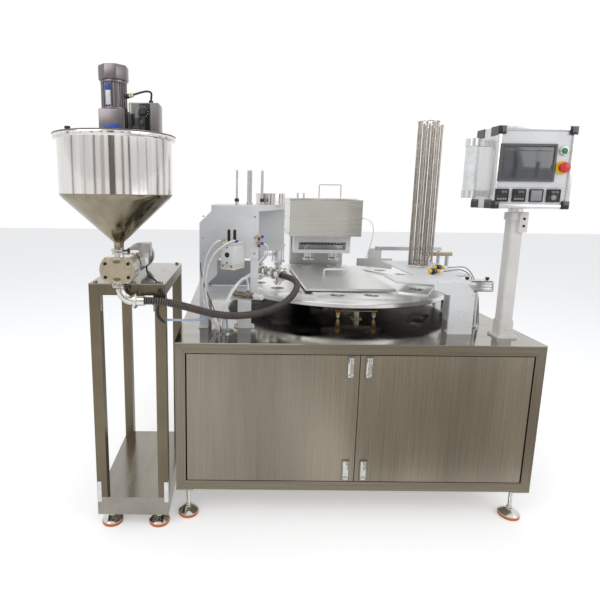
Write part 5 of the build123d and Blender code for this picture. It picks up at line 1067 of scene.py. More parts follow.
@dataclass
class FillingStation:
    """Guided and small cylinder, flow controls, valve clamps and plate screws of the filling station."""

    centre: Span = (222.0, 178.0)
    half: Span = (31.0, 46.0)
    turn: float = -30.0
    cylinder: Span = (1039.0, 1140.0)
    plate_y: float = 244.0
    mini_start: Place = (225.0, 287.0, 902.0)
    mini_end: Place = (309.0, 224.0, 902.0)
    magazines: tuple[Span, Span] = ((324.0, 384.0), (262.0, 384.0))
    rod_ring: float = 36.0

    def build(self) -> None:
        """Make every fitting of the station."""
        self.guided_cylinder()
        self.mufflers()
        self.small_cylinder()
        self.flow_controls()
        self.valves()
        self.magazine_knobs()
        self.frame_trim()
        self.cylinder_tubes()

    def turned(self, piece: Piece) -> Piece:
        """Turn a piece about the guided cylinder's upright middle."""
        middle = spot(*self.centre, 0)
        piece.data.transform(Matrix.Translation(middle) @ Matrix.Rotation(math.radians(self.turn), 4, "Z")
                             @ Matrix.Translation(-middle))
        return piece

    def guided_cylinder(self) -> None:
        """Make the cylinder's body with its port, and the two cream end plates."""
        (x, y), (wide, deep), (low, high) = self.centre, self.half, self.cylinder
        body = Bench.block("guided_cylinder_body", (x - wide, x + wide), (y - deep, y + deep),
                           (low + 9, high - 11), 3.0)
        fit(self.turned(body), "machine", WHITE_COAT, "air_cylinders")
        plates = [Bench.block("plate", (x - wide, x + wide), (y - deep, y + deep), limits, 1.6)
                  for limits in ((low, low + 8.6), (high - 10.6, high))]
        fit(self.turned(Bench.join("guided_cylinder_end_plates", plates)), "machine", CREAM_COAT)
        front = y - deep
        profile = [(0, 0.6), (8, 0.6), (8.6, 1.4), (10.4, 1.4), (10.8, 0.4), (10.8, -0.5), (0, -0.5)]
        port = Bench.lathe("guided_cylinder_port", profile, (x, front, (low + high) / 2), Axis.FRONT, 28)
        fit(self.turned(port), "machine", BLACK_PLASTIC)
        places = [(x, front, low + 18), (x, front, high - 20), (x - 20, front, low + 5),
                  (x + 20, front, low + 5)]
        marks = Bench.screws("guided_cylinder_screws", places, Axis.FRONT, 3.4, 1.6)
        fit(self.turned(marks), "machine", DARK_STEEL)
        places = [(x + i, y + j, high) for i in (-22, 22) for j in (-37, 37)]
        tops = Bench.screws("guided_cylinder_top_screws", places, Axis.Z, 4.2, 3)
        fit(self.turned(tops), "machine", BRIGHT_STEEL)

    def mufflers(self) -> None:
        """Make the two black silencers on top and the blue push-in fittings beside them."""
        (x, y), high = self.centre, self.cylinder[1]
        profile = [(0, 0), (5, 0), (5, 6)]
        for n in range(9):
            profile += [(6.6, 7 + n * 4.4), (6.6, 9.6 + n * 4.4), (5.6, 10.4 + n * 4.4)]
        profile += [(6.2, 48), (4, 51), (0, 51)]
        first = Bench.lathe("silencer", profile, (x - 10, y - 16, high), steps=20)
        second = Bench.copy(first, "silencer", (24, 6, 0))
        fit(self.turned(Bench.join("black_silencers", [second, first])), "machine", BLACK_PLASTIC)
        fittings, rings = [], []
        for side in (-1, 1):
            at = (x + side * 25, y - 34, high + 7)
            fittings.append(Bench.rod("fitting", (at[0], at[1], high), (at[0], at[1], high + 13), 6, 6,
                                      0.8))
            rings.append(Bench.rod("ring", (at[0] + side * 3, at[1], at[2]),
                                   (at[0] + side * 17, at[1], at[2]),
                                   5.8, 20, 1.0))
        fit(self.turned(Bench.join("cylinder_fitting_bodies", fittings)), "machine", BRASS)
        fit(self.turned(Bench.join("cylinder_release_rings", rings)), "machine", BLUE_PLASTIC)

    def small_cylinder(self) -> None:
        """Make the small steel cylinder with its rolled caps, saddle, port and white nose."""
        start, end = Vector(self.mini_start), Vector(self.mini_end)
        way = (end - start).normalized()
        length = (end - start).length
        profile = [(0, 0), (8, 0), (8, 3), (13, 3.6), (13, 13), (11.8, 14.2), (11.8, length - 14),
                   (13, length - 13), (13, length - 3), (9, length - 2), (5.2, length), (5.2, length - 6),
                   (0, length - 6)]
        fit(Bench.lathe("small_steel_cylinder", profile, self.mini_start, way, 32), "machine", OLD_STEEL,
            "air_cylinders")
        saddle = Bench.block("cylinder_saddle", (250, 278), (250, 276), (886, 894), 1.2)
        fit(saddle, "machine", SHEET)
        port = Bench.rod("small_cylinder_port", (290, 238, 911), (290, 238, 922.5), 5.4, 6, 0.6)
        fit(port, "machine", BRASS)
        ring = Bench.lathe("small_cylinder_release_ring",
                           [(0, 0), (6, 0), (6.4, 1), (6.4, 5), (5, 6), (0, 6)],
                           (290, 238, 917), steps=20)
        fit(ring, "machine", BLUE_PLASTIC)
        nose_start, nose_end = end + way * 10, end + way * 50
        profile = [(0, 0), (11, 0), (13, 2), (13, 24), (12.2, 25), (12.2, 27), (13, 28), (13, 37),
                   (11, 40), (0, 40)]
        nose = Bench.lathe("white_cylinder_nose", profile, tuple(nose_start), way, 32)
        rod = Bench.rod("rod", tuple(start + way * 22), tuple(nose_end - way * 20), 5, 20, 0.5)
        fit(Bench.join("nose_and_rod", [rod, nose]), "mini_cylinder_rod", WHITE_PLASTIC,
            "mini_cylinder_rod")

    def flow_controls(self) -> None:
        """Make the two brass flow controls with blue rings on the plate's right edge."""
        bodies, rings = [], []
        for z in (1156, 1127):
            bodies.append(Bench.rod("body", (322, 240, z), (340, 240, z), 6.2, 6, 1))
            bodies.append(Bench.rod("knob", (322, 236, z), (322, 222, z), 5, 18, 1))
            rings.append(Bench.rod("ring", (340, 240, z), (352, 240, z), 6.2, 20, 1))
            rings.append(Bench.rod("lower", (333, 238, z - 6), (333, 238, z - 16), 5.2, 20, 1))
        fit(Bench.join("flow_control_bodies", bodies), "machine", BRASS)
        fit(Bench.join("flow_control_rings", rings), "machine", BLUE_PLASTIC)

    def valves(self) -> None:
        """Make the clamp rings and wing nuts of the manifold, and the caps of its two actuators."""
        way = Vector(station_place(FILL_ANGLE, 1, 0, 0)) - Vector(station_place(FILL_ANGLE, 0, 0, 0))
        ferrule = [(19.5, -8), (27, -7), (30, -3), (30, 3), (27, 7), (19.5, 8), (19.5, -8)]
        rings = [Bench.lathe("clamp", ferrule, station_place(FILL_ANGLE, along, 0, MANIFOLD_LEVEL), way, 32)
                 for along in (-CUP_PITCH / 2 + 26, 0, CUP_PITCH / 2 - 26, 122)]
        for along in (0, 122):
            x, y, z = station_place(FILL_ANGLE, along, -27, MANIFOLD_LEVEL)
            rings.append(Bench.rod("bolt", (x, y, z - 5), (x, y, z + 30), 4, 6, 0.6))
            rings.append(Bench.block("wing", (x - 14, x + 14), (y - 3, y + 3), (z + 22, z + 34), 2.5))
        collars = [Bench.lathe("collar",
                               [(14.2, 0), (20, 1), (21, 4), (21, 9), (18, 12), (14.2, 12), (14.2, 0)],
                               station_place(FILL_ANGLE, side * CUP_PITCH / 2, 0, z), steps=28)
                   for side in (-1, 1) for z in (890, 962, 984)]
        fit(Bench.join("valve_clamps", [*collars, *rings]), "machine", BRIGHT_STEEL)
        caps, ties = [], []
        for side in (-1, 1):
            base = station_place(FILL_ANGLE, side * CUP_PITCH / 2, 0, 0)
            for low, high in ((1000, 1006), (1072, 1080)):
                ring = [(22.2, low), (24, low + 1), (24, high - 1), (22.2, high), (22.2, low)]
                caps.append(Bench.lathe("cap", ring, base, steps=32))
            for along, inward in ((-20, -20), (20, -20), (-20, 20), (20, 20)):
                x, y, _ = station_place(FILL_ANGLE, side * CUP_PITCH / 2 + along, inward, 0)
                ties.append(Bench.rod("tie", (x, y, 1010), (x, y, 1081.5), 2.6, 10, 0))
        fit(Bench.join("actuator_end_rings", caps), "machine", BLACK_PLASTIC)
        fit(Bench.join("actuator_tie_rods", ties), "machine", BRIGHT_STEEL)

    def magazine_knobs(self) -> None:
        """Make the black knobs of two magazine rods, and the cap and sleeve of every rod."""
        right, left = self.magazines
        profile = [(4.2, 0), (9, 0), (10, 2), (10, 12), (8, 15), (4.2, 15), (4.2, 0)]
        knobs = [Bench.lathe("knob", profile, (*ring_place(middle, self.rod_ring, turn), 1300), steps=24)
                 for middle, turn in ((right, 315), (left, 225))]
        fit(Bench.join("magazine_knobs", knobs), "machine", BLACK_PLASTIC)
        places = [ring_place(middle, self.rod_ring, turn)
                  for middle in self.magazines for turn in (45, 135, 225, 315)]
        profile = [(0, 0), (5.4, 0), (5.4, 4), (4.6, 5.5), (0, 5.5)]
        caps = [Bench.lathe("cap", profile, (*place, 1434), steps=16) for place in places]
        fit(Bench.join("magazine_rod_caps", caps), "machine", BRIGHT_STEEL)
        profile = [(3.2, 1300), (4.6, 1301), (4.6, 1433), (3.2, 1434), (3.2, 1300)]
        sleeves = [Bench.lathe("sleeve", profile, (*place, 0), steps=16) for place in places]
        fit(Bench.join("magazine_rod_sleeves", sleeves), "machine", SLEEVE_GREY)

    def frame_trim(self) -> None:
        """Make the inner sheet whose grey is painted shade, the plate's screws, and the posts' feet with
        their bolts.
        """
        # A grey sheet between the plates, where their inside lies in shade: its grey is painted shade
        inner = Bench.block("filling_inner_sheet", (92, 322), (529, 532), (889, 1012), 0.8)
        fit(inner, "machine", SHADE_SHEET)
        places = [(x, self.plate_y, z) for x in (96, 314) for z in (1084, 1150, 1240)]
        places += [(96, self.plate_y, z) for z in (790, 870, 940)]
        bolt("plate_screws", places, Axis.FRONT, 4.4, 3.2)
        foot_top = TABLE_TOP + 5
        feet = [Bench.block("foot", (x - wide, x + wide), (y - 26, y + 22), (TABLE_TOP, foot_top), 1.5)
                for x, y, wide in ((274, 235, 44), (98, 222, 20))]
        fit(Bench.join("post_foot_plates", feet), "machine", WHITE_COAT)
        bolts = [(x, y, foot_top) for y in (218, 248) for x in (240, 308)]
        bolt("post_foot_bolts", bolts, Axis.Z, 5, 4)

    def cylinder_tubes(self) -> None:
        """Run the thin tubes from the guided cylinder and the flow controls."""
        route = [(188, 164, 1147), (170, 158, 1150), (140, 152, 1130), (112, 158, 1080), (100, 172, 1010),
                 (96, 186, 930), (110, 178, 850), (140, 166, 800), (158, 158, CORD_END)]
        lead("guided_cylinder_tube_left", route, 3.2, PALE_TUBE)
        route = [(238, 132, 1147), (222, 124, 1152), (180, 128, 1128), (140, 138, 1088), (116, 156, 1030),
                 (108, 176, 950), (118, 170, 860), (150, 160, 800), (166, 156, CORD_END)]
        lead("guided_cylinder_tube_right", route, 3.2, PALE_TUBE)
        lead("thin_black_lead", [(84, 243, 1040), (84, 205, 1026), (104, 176, 950), (141, 170, 865),
                                 (168, 162, 800), (176, 160, TABLE_TOP + 4)], 2.0, BLACK_LEAD)
        route = [(352, 240, 1127), (368, 244, 1122), (376, 270, 1092), (366, 330, 1052),
                 (344, 390, 1016), (322, 420, 996)]
        lead("flow_control_tube", route, 3.0, PALE_TUBE)


@dataclass
class SealingStation:
    """Screws, lip, gland, wiring and stand-offs of the sealing head."""

    box_x: Span = (572.0, 1028.0)
    box_y: Span = (1195.0, 1497.0)
    box_z: Span = (1076.0, 1312.0)
    middle_y: float = 1335.0
    gland_y: float = 1310.0
    tools_x: tuple[float, float] = (718.0, 882.0)
    tool_face: float = 908.0

    def build(self) -> None:
        """Make every fitting of the head."""
        self.box_trim()
        self.gland()
        self.wiring()
        self.tools()

    def box_trim(self) -> None:
        """Make the folded lip over the box's top and the screws in its sides."""
        (x0, x1), (y0, y1), (z0, z1) = self.box_x, self.box_y, self.box_z
        lip = Bench.block("head_box_top_lip", (x0 - 1.5, x1 + 1.5), (y0 - 1.5, y1 - 4),
                          (z1 - 14, z1 + 1.2), 1.4)
        fit(lip, "machine", HEAD_SHEET)
        for name, x, axis in (("head_box_screws", x1 + 0.2, Axis.X),
                              ("head_box_left_screws", x0 - 0.2, Axis.LEFT)):
            places = [(x, y, z) for y in (y0 + 18, y1 - 22) for z in (z0 + 18, z0 + 112, z1 - 34)]
            bolt(name, places, axis, 5, 3.4)

    def gland(self) -> None:
        """Make the cable gland's nut and the grey connector on it."""
        x, y, z = self.box_x[1], self.gland_y, self.box_z[0] + 110
        nut = Bench.rod("gland_nut", (x, y, z), (x + 8, y, z), 16, 6, 1.2)
        fit(nut, "machine", BLACK_PLASTIC)
        profile = [(0, 8), (13, 8), (14, 10), (14, 22), (9, 27), (4.5, 29), (4.5, 34), (0, 34)]
        fit(Bench.lathe("gland_connector", profile, (x, y, z), Axis.X, 24), "machine", GREY_PLASTIC)

    def wiring(self) -> None:
        """Run the braided leads and terminal strip inside the heater frame's slot."""
        y = self.middle_y - 20
        strips = [Bench.block("strip", (660, 940), (y - 9, y + 9), (1012, 1018), 1.2)]
        for x in range(672, 940, 22):
            strips.append(Bench.rod("post", (x, y, 1018), (x, y, 1026), 4, 6, 0.6))
        fit(Bench.join("heater_terminal_strip", strips), "press", DARK_STEEL)
        for n, side in enumerate((-1, 1)):
            x = DISC[0] + side * 80
            route = [(x, y, 1014), (x + side * 18, y - 16, 1008), (x + side * 34, y - 18, 992),
                     (x + side * 30, y - 6, 984)]
            lead(f"heater_lead_{n}", route, 2.6, PALE_TUBE, "press")

    def tools(self) -> None:
        """Make the stepped sealing tools with their stand-offs."""
        profile = [(0, 0), (35, 0), (38, 3), (38, 9), (35, 11), (35, 14), (24, 16), (19, 22), (19, 44),
                   (24, 46), (24, 50), (0, 50)]
        z = self.tool_face
        discs = [Bench.lathe("tool", profile, (x, self.middle_y, z), steps=40) for x in self.tools_x]
        fit(Bench.join("sealing_tool_pair", discs), "press", BRIGHT_STEEL, "sealing_tools")
        places = [ring_place((x, self.middle_y), 28, turn)
                  for x in self.tools_x for turn in (20, 110, 200, 290)]
        pins = [Bench.rod("stand_off", (*place, z + 13), (*place, z + 49.6), 4, 6, 0.5) for place in places]
        fit(Bench.join("tool_stand_offs", pins), "press", BRIGHT_STEEL)


@dataclass
class LidStation:
    """Level sensors, collars, column screws and the profile cylinder's grooves and knobs."""

    column_x: Span = (1124.0, 1225.0)
    front: float = 145.0
    deck_top: float = 982.0
    sensor_level: float = 996.0
    ring_level: float = 1683.0
    profile_x: Span = (1225.0, 1353.0)
    profile_y: Span = (239.0, 285.0)
    profile_z: Span = (928.0, 974.0)

    def build(self) -> None:
        """Make every fitting of the station."""
        for n, (x, y) in enumerate(((1188, 483), (1115, 361))):
            Sensor(f"level_sensor_{n}", (x, y, self.sensor_level), Axis.X, length=66).build()
            clamp = Bench.block(f"sensor_clamp_{n}", (x + 14, x + 24), (y - 12, y + 12),
                                (self.deck_top, self.sensor_level + 12), 2)
            fit(clamp, "machine", BLACK_PLASTIC)
        route = [(1256, 483, 996), (1280, 483, 995), (1302, 474, 1000), (1322, 448, 1004), (1330, 410, 992),
                 (1334, 372, 960), (1336, 340, 915), (1336, 320, 860), (1334, 306, 800),
                 (1334, 300, TABLE_TOP + 2)]
        lead("level_sensor_cable_0", route, 2.6, GREY_LEAD)
        route = [(1183, 361, 996), (1204, 361, 996), (1232, 360, 1004), (1262, 354, 1006), (1292, 342, 990),
                 (1312, 330, 950), (1322, 318, 900), (1326, 308, 840), (1326, 302, 790),
                 (1326, 300, TABLE_TOP + 2)]
        lead("level_sensor_cable_1", route, 2.6, GREY_LEAD)
        self.collars()
        self.column()
        self.profile()

    def collars(self) -> None:
        """Make the ring that holds the foot of each ring of rods, and one part way up."""
        rings = []
        for side in (-1, 1):
            base = station_place(LID_ANGLE, side * CUP_PITCH / 2, 0, 0)
            for low, high in ((self.deck_top + 0.2, self.deck_top + 10),
                              (self.ring_level, self.ring_level + 4)):
                ring = [(39, low), (49.5, low), (50.5, low + 1), (50.5, high - 1), (49.5, high), (39, high),
                        (39, low)]
                rings.append(Bench.lathe("collar", ring, base, steps=44))
        fit(Bench.join("magazine_rings", rings), "machine", BRIGHT_STEEL)

    def column(self) -> None:
        """Make the column plate's screws, its foot plate and the deck's screws."""
        (x0, x1), y = self.column_x, self.front
        bolt("column_screws", [(1168, y, 865), (1168, y, 839), (1212, y, 930), (1212, y, 800)],
             Axis.FRONT, 4.2, 2.2)
        foot = Bench.block("column_foot", (x0 + 6, x1 - 12), (y + 10.4, y + 44), (TABLE_TOP, TABLE_TOP + 8),
                           1.5)
        fit(foot, "machine", WHITE_COAT)
        bolt("column_foot_bolts", [(x0 + 22, y + 28, TABLE_TOP + 8), (x1 - 30, y + 28, TABLE_TOP + 8)],
             Axis.Z, 5, 4)
        places = [(x, y, self.deck_top) for x, y in ((1070, 158), (1140, 158), (1212, 158), (1282, 352),
                                                     (1282, 782), (1058, 782), (926, 310))]
        bolt("deck_screws", places, Axis.Z, 4.4, 2.6)

    def profile(self) -> None:
        """Make the grooved cylinder profile with end caps, knobs and its post."""
        (x0, x1), (y0, y1), (z0, z1) = self.profile_x, self.profile_y, self.profile_z
        parts = [Bench.block("core", (x0 + 8, x1 - 8), (y0 + 3, y1 - 3), (z0 + 3, z1 - 3), 1.5)]
        for low, high in ((z0, z0 + 15), (z0 + 19, z0 + 27), (z1 - 15, z1)):
            for a, b in ((y0, y0 + 5), (y1 - 5, y1)):
                parts.append(Bench.block("rail", (x0 + 8, x1 - 8), (a, b), (low, high), 1.2))
        for low, high in ((y0, y0 + 15), (y0 + 19, y0 + 27), (y1 - 15, y1)):
            for a, b in ((z0, z0 + 5), (z1 - 5, z1)):
                parts.append(Bench.block("rail", (x0 + 8, x1 - 8), (low, high), (a, b), 1.2))
        for a, b in ((x0, x0 + 8), (x1 - 8, x1)):
            parts.append(Bench.block("end", (a, b), (y0, y1), (z0, z1), 2.0))
        middle = ((x0 + x1) / 2, sum(self.profile_y) / 2)
        parts.append(Bench.rod("post", (*middle, TABLE_TOP + 8), (*middle, z0), 9, 24, 0.5))
        parts.append(Bench.rod("post_foot", (*middle, TABLE_TOP), (*middle, TABLE_TOP + 8), 22, 32, 1.5))
        fit(Bench.join("profile_cylinder_body", parts), "machine", LEVEL_PROFILE, "profile_cylinder")
        knobs = []
        for x in (x0 + 20, x1 - 20):
            base = (x, middle[1], z1)
            profile = [(0, 0), (5, 0), (5, 4), (8, 5), (8.6, 7), (8.6, 12), (7.4, 14), (0, 14)]
            knobs.append(Bench.lathe("knob", profile, base, steps=20))
        fit(Bench.join("profile_cylinder_knobs", knobs), "machine", BLACK_PLASTIC)
        bolt("profile_cylinder_screws", [(x1, y, z) for y in (y0 + 7, y1 - 7) for z in (z0 + 7, z1 - 7)],
             Axis.X, 3.6, 2.4, finish=DARK_STEEL)


@dataclass
class BackGuides:
    """Brackets and screws of the guard plate and the outfeed rail."""

    guard_x: Span = (1103.0, 1358.0)
    guard_y: float = 1560.0

    def build(self) -> None:
        """Make the screws, the rail's lip and the posts' feet."""
        middle = sum(self.guard_x) / 2
        places = [(middle + i, self.guard_y, z) for i in (-36, 36) for z in (948, 906)]
        bolt("guard_screws", places, Axis.FRONT, 4.5, 2.6)
        feet = [Bench.lathe("foot", [(10.2, 0), (24, 0), (25, 2), (24, 6), (14, 8), (12.5, 22), (10.2, 23),
                                     (10.2, 0)], (1425, y, TABLE_TOP), steps=32) for y in (860, 970)]
        fit(Bench.join("outfeed_post_feet", feet), "machine", BRIGHT_STEEL)
        lip = Bench.block("outfeed_table_lip", (1275, 1435), (818, 823), (1008, 1030), 1.0)
        fit(lip, "machine", SHEET)


@dataclass
class OperatorPanel:
    """Front rim, face, screen, controllers, buttons and grip of the operator panel."""

    middle: float = 1351.0
    half: float = 146.0
    low: float = 1292.0
    high: float = 1592.0
    front: float = 57.0
    screen_x: float = 1323.0
    screen_z: float = 1461.0
    screen_half: Span = (106.0, 69.0)
    start: Span = (1456.0, 1506.0)
    stop: Span = (1456.0, 1444.0)
    grip: Span = (1150.0, 132.0)
    post: Span = (1345.0, 132.0)
    rim_width: float = 15.0
    corner: float = 28.0

    def build(self) -> None:
        """Make every visible piece of the panel's front."""
        self.face()
        self.rim()
        self.screen()
        self.controllers()
        self.buttons()
        self.tube_grip()
        self.post_fittings()

    def face(self) -> None:
        """Make the pale face sheet with its raised border."""
        x0, x1, y = self.middle - self.half, self.middle + self.half, self.front
        sheet = Bench.block("sheet", (x0 + 3.4, x1 - 3.4), (y + 2, y + 6),
                            (self.low + 3.4, self.high - 3.4), 0.8)
        band = Bench.block("band", (x0 + 12, x1 - 12), (y + 0.4, y + 3), (self.low + 78, self.low + 84),
                           0.8)
        fit(Bench.join("panel_face_sheet", [band, sheet]), "panel_head", FACE_COAT, "panel_face")

    def rim(self) -> None:
        """Make the rounded aluminium rim and the black corners that close it in front and behind."""
        x0, x1, y = self.middle - self.half, self.middle + self.half, self.front
        low, high, wide, corner = self.low, self.high, self.rim_width, self.corner
        bars, caps = [], []
        for a, b in ((y - 3, y + 26), (y + 124, y + 152)):
            for z0, z1 in ((low - 1.6, low + wide), (high - wide, high + 1.6)):
                bars.append(Bench.block("bar", (x0 + corner - 2, x1 - corner + 2), (a, b), (z0, z1), 4))
            for p, q in ((x0 - 1.6, x0 + wide), (x1 - wide, x1 + 1.6)):
                bars.append(Bench.block("bar", (p, q), (a, b), (low + corner - 2, high - corner + 2), 4))
        for a, b in ((y - 4.5, y + 3), (y + 148, y + 153.5)):
            for p, q in ((x0 - 3, x0 + corner), (x1 - corner, x1 + 3)):
                for z0, z1 in ((low - 3, low + corner), (high - corner, high + 3)):
                    caps.append(Bench.block("cap", (p, q), (a, b), (z0, z1), 3))
        fit(Bench.join("panel_case_rim", bars), "panel_head", CASE_PROFILE)
        fit(Bench.join("panel_corner_fronts", caps), "panel_head", BLACK_GLOSS)

    def frame(self, name: str, x: Span, z: Span, depth: Span, border: float) -> Piece:
        """Make a rectangular frame with a bevelled opening."""
        Bench.block(name, x, depth, z, 0)
        obj = bpy.context.object
        bpy.ops.object.mode_set(mode="EDIT")
        bpy.ops.mesh.select_all(action="DESELECT")
        bpy.ops.object.mode_set(mode="OBJECT")
        for polygon in obj.data.polygons:
            polygon.select = polygon.normal.y < -0.9
        bpy.ops.object.mode_set(mode="EDIT")
        bpy.ops.mesh.select_mode(type="FACE")
        bpy.ops.mesh.inset(thickness=border * MM, depth=0)
        bpy.ops.mesh.inset(thickness=1.5 * MM, depth=-2.5 * MM)
        bpy.ops.object.mode_set(mode="OBJECT")
        return Bench.settle(obj, name, 0.6)

    def screen(self) -> None:
        """Make the touch screen's black bezel and the grey glass in it."""
        (wide, tall), y = self.screen_half, self.front
        x, z = self.screen_x, self.screen_z
        bezel = self.frame("screen_bezel", (x - wide, x + wide), (z - tall, z + tall), (y - 5, y + 2), 9)
        fit(bezel, "panel_head", BEZEL_GREY)
        glass = Bench.block("screen_glass", (x - wide + 13, x + wide - 13), (y - 3, y + 1),
                            (z - tall + 13, z + tall - 13), 0.6)
        fit(glass, "panel_head", SCREEN_GLASS)
        top = Bench.block("screen_status_band", (x - wide + 15, x + wide - 15), (y - 3.3, y - 2.6),
                          (z + tall - 27, z + tall - 15), 0.2)
        fit(top, "panel_head", SCREEN_BAND)

    def controllers(self) -> None:
        """Make the four square controllers under the screen: frames, dark windows, keys and dials."""
        y, z = self.front, self.low + 48
        frames, windows, keys, dials, blanks = [], [], [], [], []
        for n in range(4):
            x = self.middle - 14 + 65.5 * (n - 1.5)
            frames.append(self.frame(f"frame_{n}", (x - 25, x + 25), (z - 24, z + 24), (y - 6, y + 2), 3))
            if n == 2:
                blanks.append(Bench.block("blank", (x - 21, x + 21), (y - 5, y - 2), (z - 20, z + 20), 1.5))
                continue
            windows.append(Bench.block("window", (x - 19, x + 19), (y - 4.6, y - 2), (z + 1, z + 18), 0.5))
            if n < 3:
                for k in range(4):
                    keys.append(Bench.block("key", (x - 18 + k * 9.6, x - 11 + k * 9.6), (y - 6.4, y - 3),
                                            (z - 17, z - 10), 0.8))
            else:
                profile = [(0, 5), (9, 5), (10, 3), (10.6, -2), (0, -2)]
                dials.append(Bench.lathe("dial", profile, (x, y - 3, z - 7), Axis.FRONT, 28))
        fit(Bench.join("controller_frames", frames), "panel_head", BLACK_PLASTIC)
        fit(Bench.join("controller_blank", blanks), "panel_head", GREY_PLASTIC)
        fit(Bench.join("controller_windows", windows), "panel_head", SCREEN_DARK)
        fit(Bench.join("controller_keys", keys), "panel_head", GREY_PLASTIC)
        fit(Bench.join("controller_dial", dials), "panel_head", GREY_PLASTIC)

    def buttons(self) -> None:
        """Make the start button in its ring and the mushroom on its yellow ring."""
        y = self.front
        (sx, sz), (ex, ez) = self.start, self.stop
        profile = [(11.4, -1), (16.5, -1), (17, 0.5), (16.6, 4), (14, 6), (11.8, 6.2), (11.4, 5.4),
                   (11.4, -1)]
        ring = Bench.lathe("start_button_ring", profile, (sx, y, sz), Axis.FRONT, 36)
        fit(ring, "panel_head", BRIGHT_STEEL)
        profile = [(0, 8.6), (8, 8.4), (10.2, 7.4), (10.9, 5.6), (10.9, -10), (0, -10)]
        cap = Bench.lathe("start_button_cap", profile, (sx, y, sz), Axis.FRONT, 36)
        fit(cap, "start_button", GREEN_PLASTIC, "start_button")
        profile = [(13.4, -1), (24, -1), (25, 0.6), (25, 2.4), (23, 3.8), (14.4, 4), (13.4, 3.4), (13.4, -1)]
        base = Bench.lathe("estop_yellow_ring", profile, (ex, y, ez), Axis.FRONT, 40)
        fit(base, "panel_head", YELLOW_PLASTIC)
        profile = [(0, 27), (9, 26.6), (15, 24.8), (19, 21.4), (20, 18), (19.6, 15), (16.5, 11.6),
                   (12.4, 10), (11, 9.6), (11, -10), (0, -10)]
        head = Bench.lathe("estop_mushroom", profile, (ex, y, ez), Axis.FRONT, 40)
        fit(head, "estop_button", RED_PLASTIC, "estop_button")

    def tube_grip(self) -> None:
        """Make the frosted tube grip and its black end brackets' caps."""
        x, y = self.grip
        low, high = self.low + 40, self.high - 40
        sleeve = [(17.2, low + 1), (23, low + 2), (23, high - 2), (17.2, high - 1), (17.2, low + 1)]
        fit(Bench.lathe("frosted_grip_sleeve", sleeve, (x, y, 0), steps=36), "panel_head", CLEAR_TUBE)
        ends = []
        for z0, z1 in ((low - 3, low + 27), (high - 27, high + 3)):
            ring = [(23.2, z0 + 3), (24, z0), (25.4, z0 + 1), (25.4, z1 - 1), (24, z1), (23.2, z1 - 1),
                    (23.2, z0 + 3)]
            ends.append(Bench.lathe("end", ring, (x, y, 0), steps=36))
            ends.append(Bench.rod("plug", (x, y, z0 + 1), (x, y, z1 - 1), 22, 36, 1.2))
        fit(Bench.join("grip_end_caps", ends), "panel_head", CASE_PROFILE)

    def post_fittings(self) -> None:
        """Make the bolts of the base plate and the clamp screws of the socket and the collar."""
        block = Bench.block("panel_collar_clamp", (1343, 1377), (94, 140), (1196, 1276), 3)
        fit(block, "machine", POST_COAT)
        bolt("collar_clamp_screws", [(1360, 94, 1222), (1360, 94, 1250)], Axis.FRONT, 5, 3,
             finish=DARK_STEEL)
        x, y = self.post
        places = [(x + i, y + j, TABLE_TOP + 8) for i in (-34, 34) for j in (-34, 34)]
        bolt("panel_base_bolts", places, Axis.Z, 5, 4)
        fronts = [(x, 103, 800), (x, 103, 820), (x, 102, 1258)]
        bolt("panel_post_screws", fronts, Axis.FRONT, 4.6, 3)


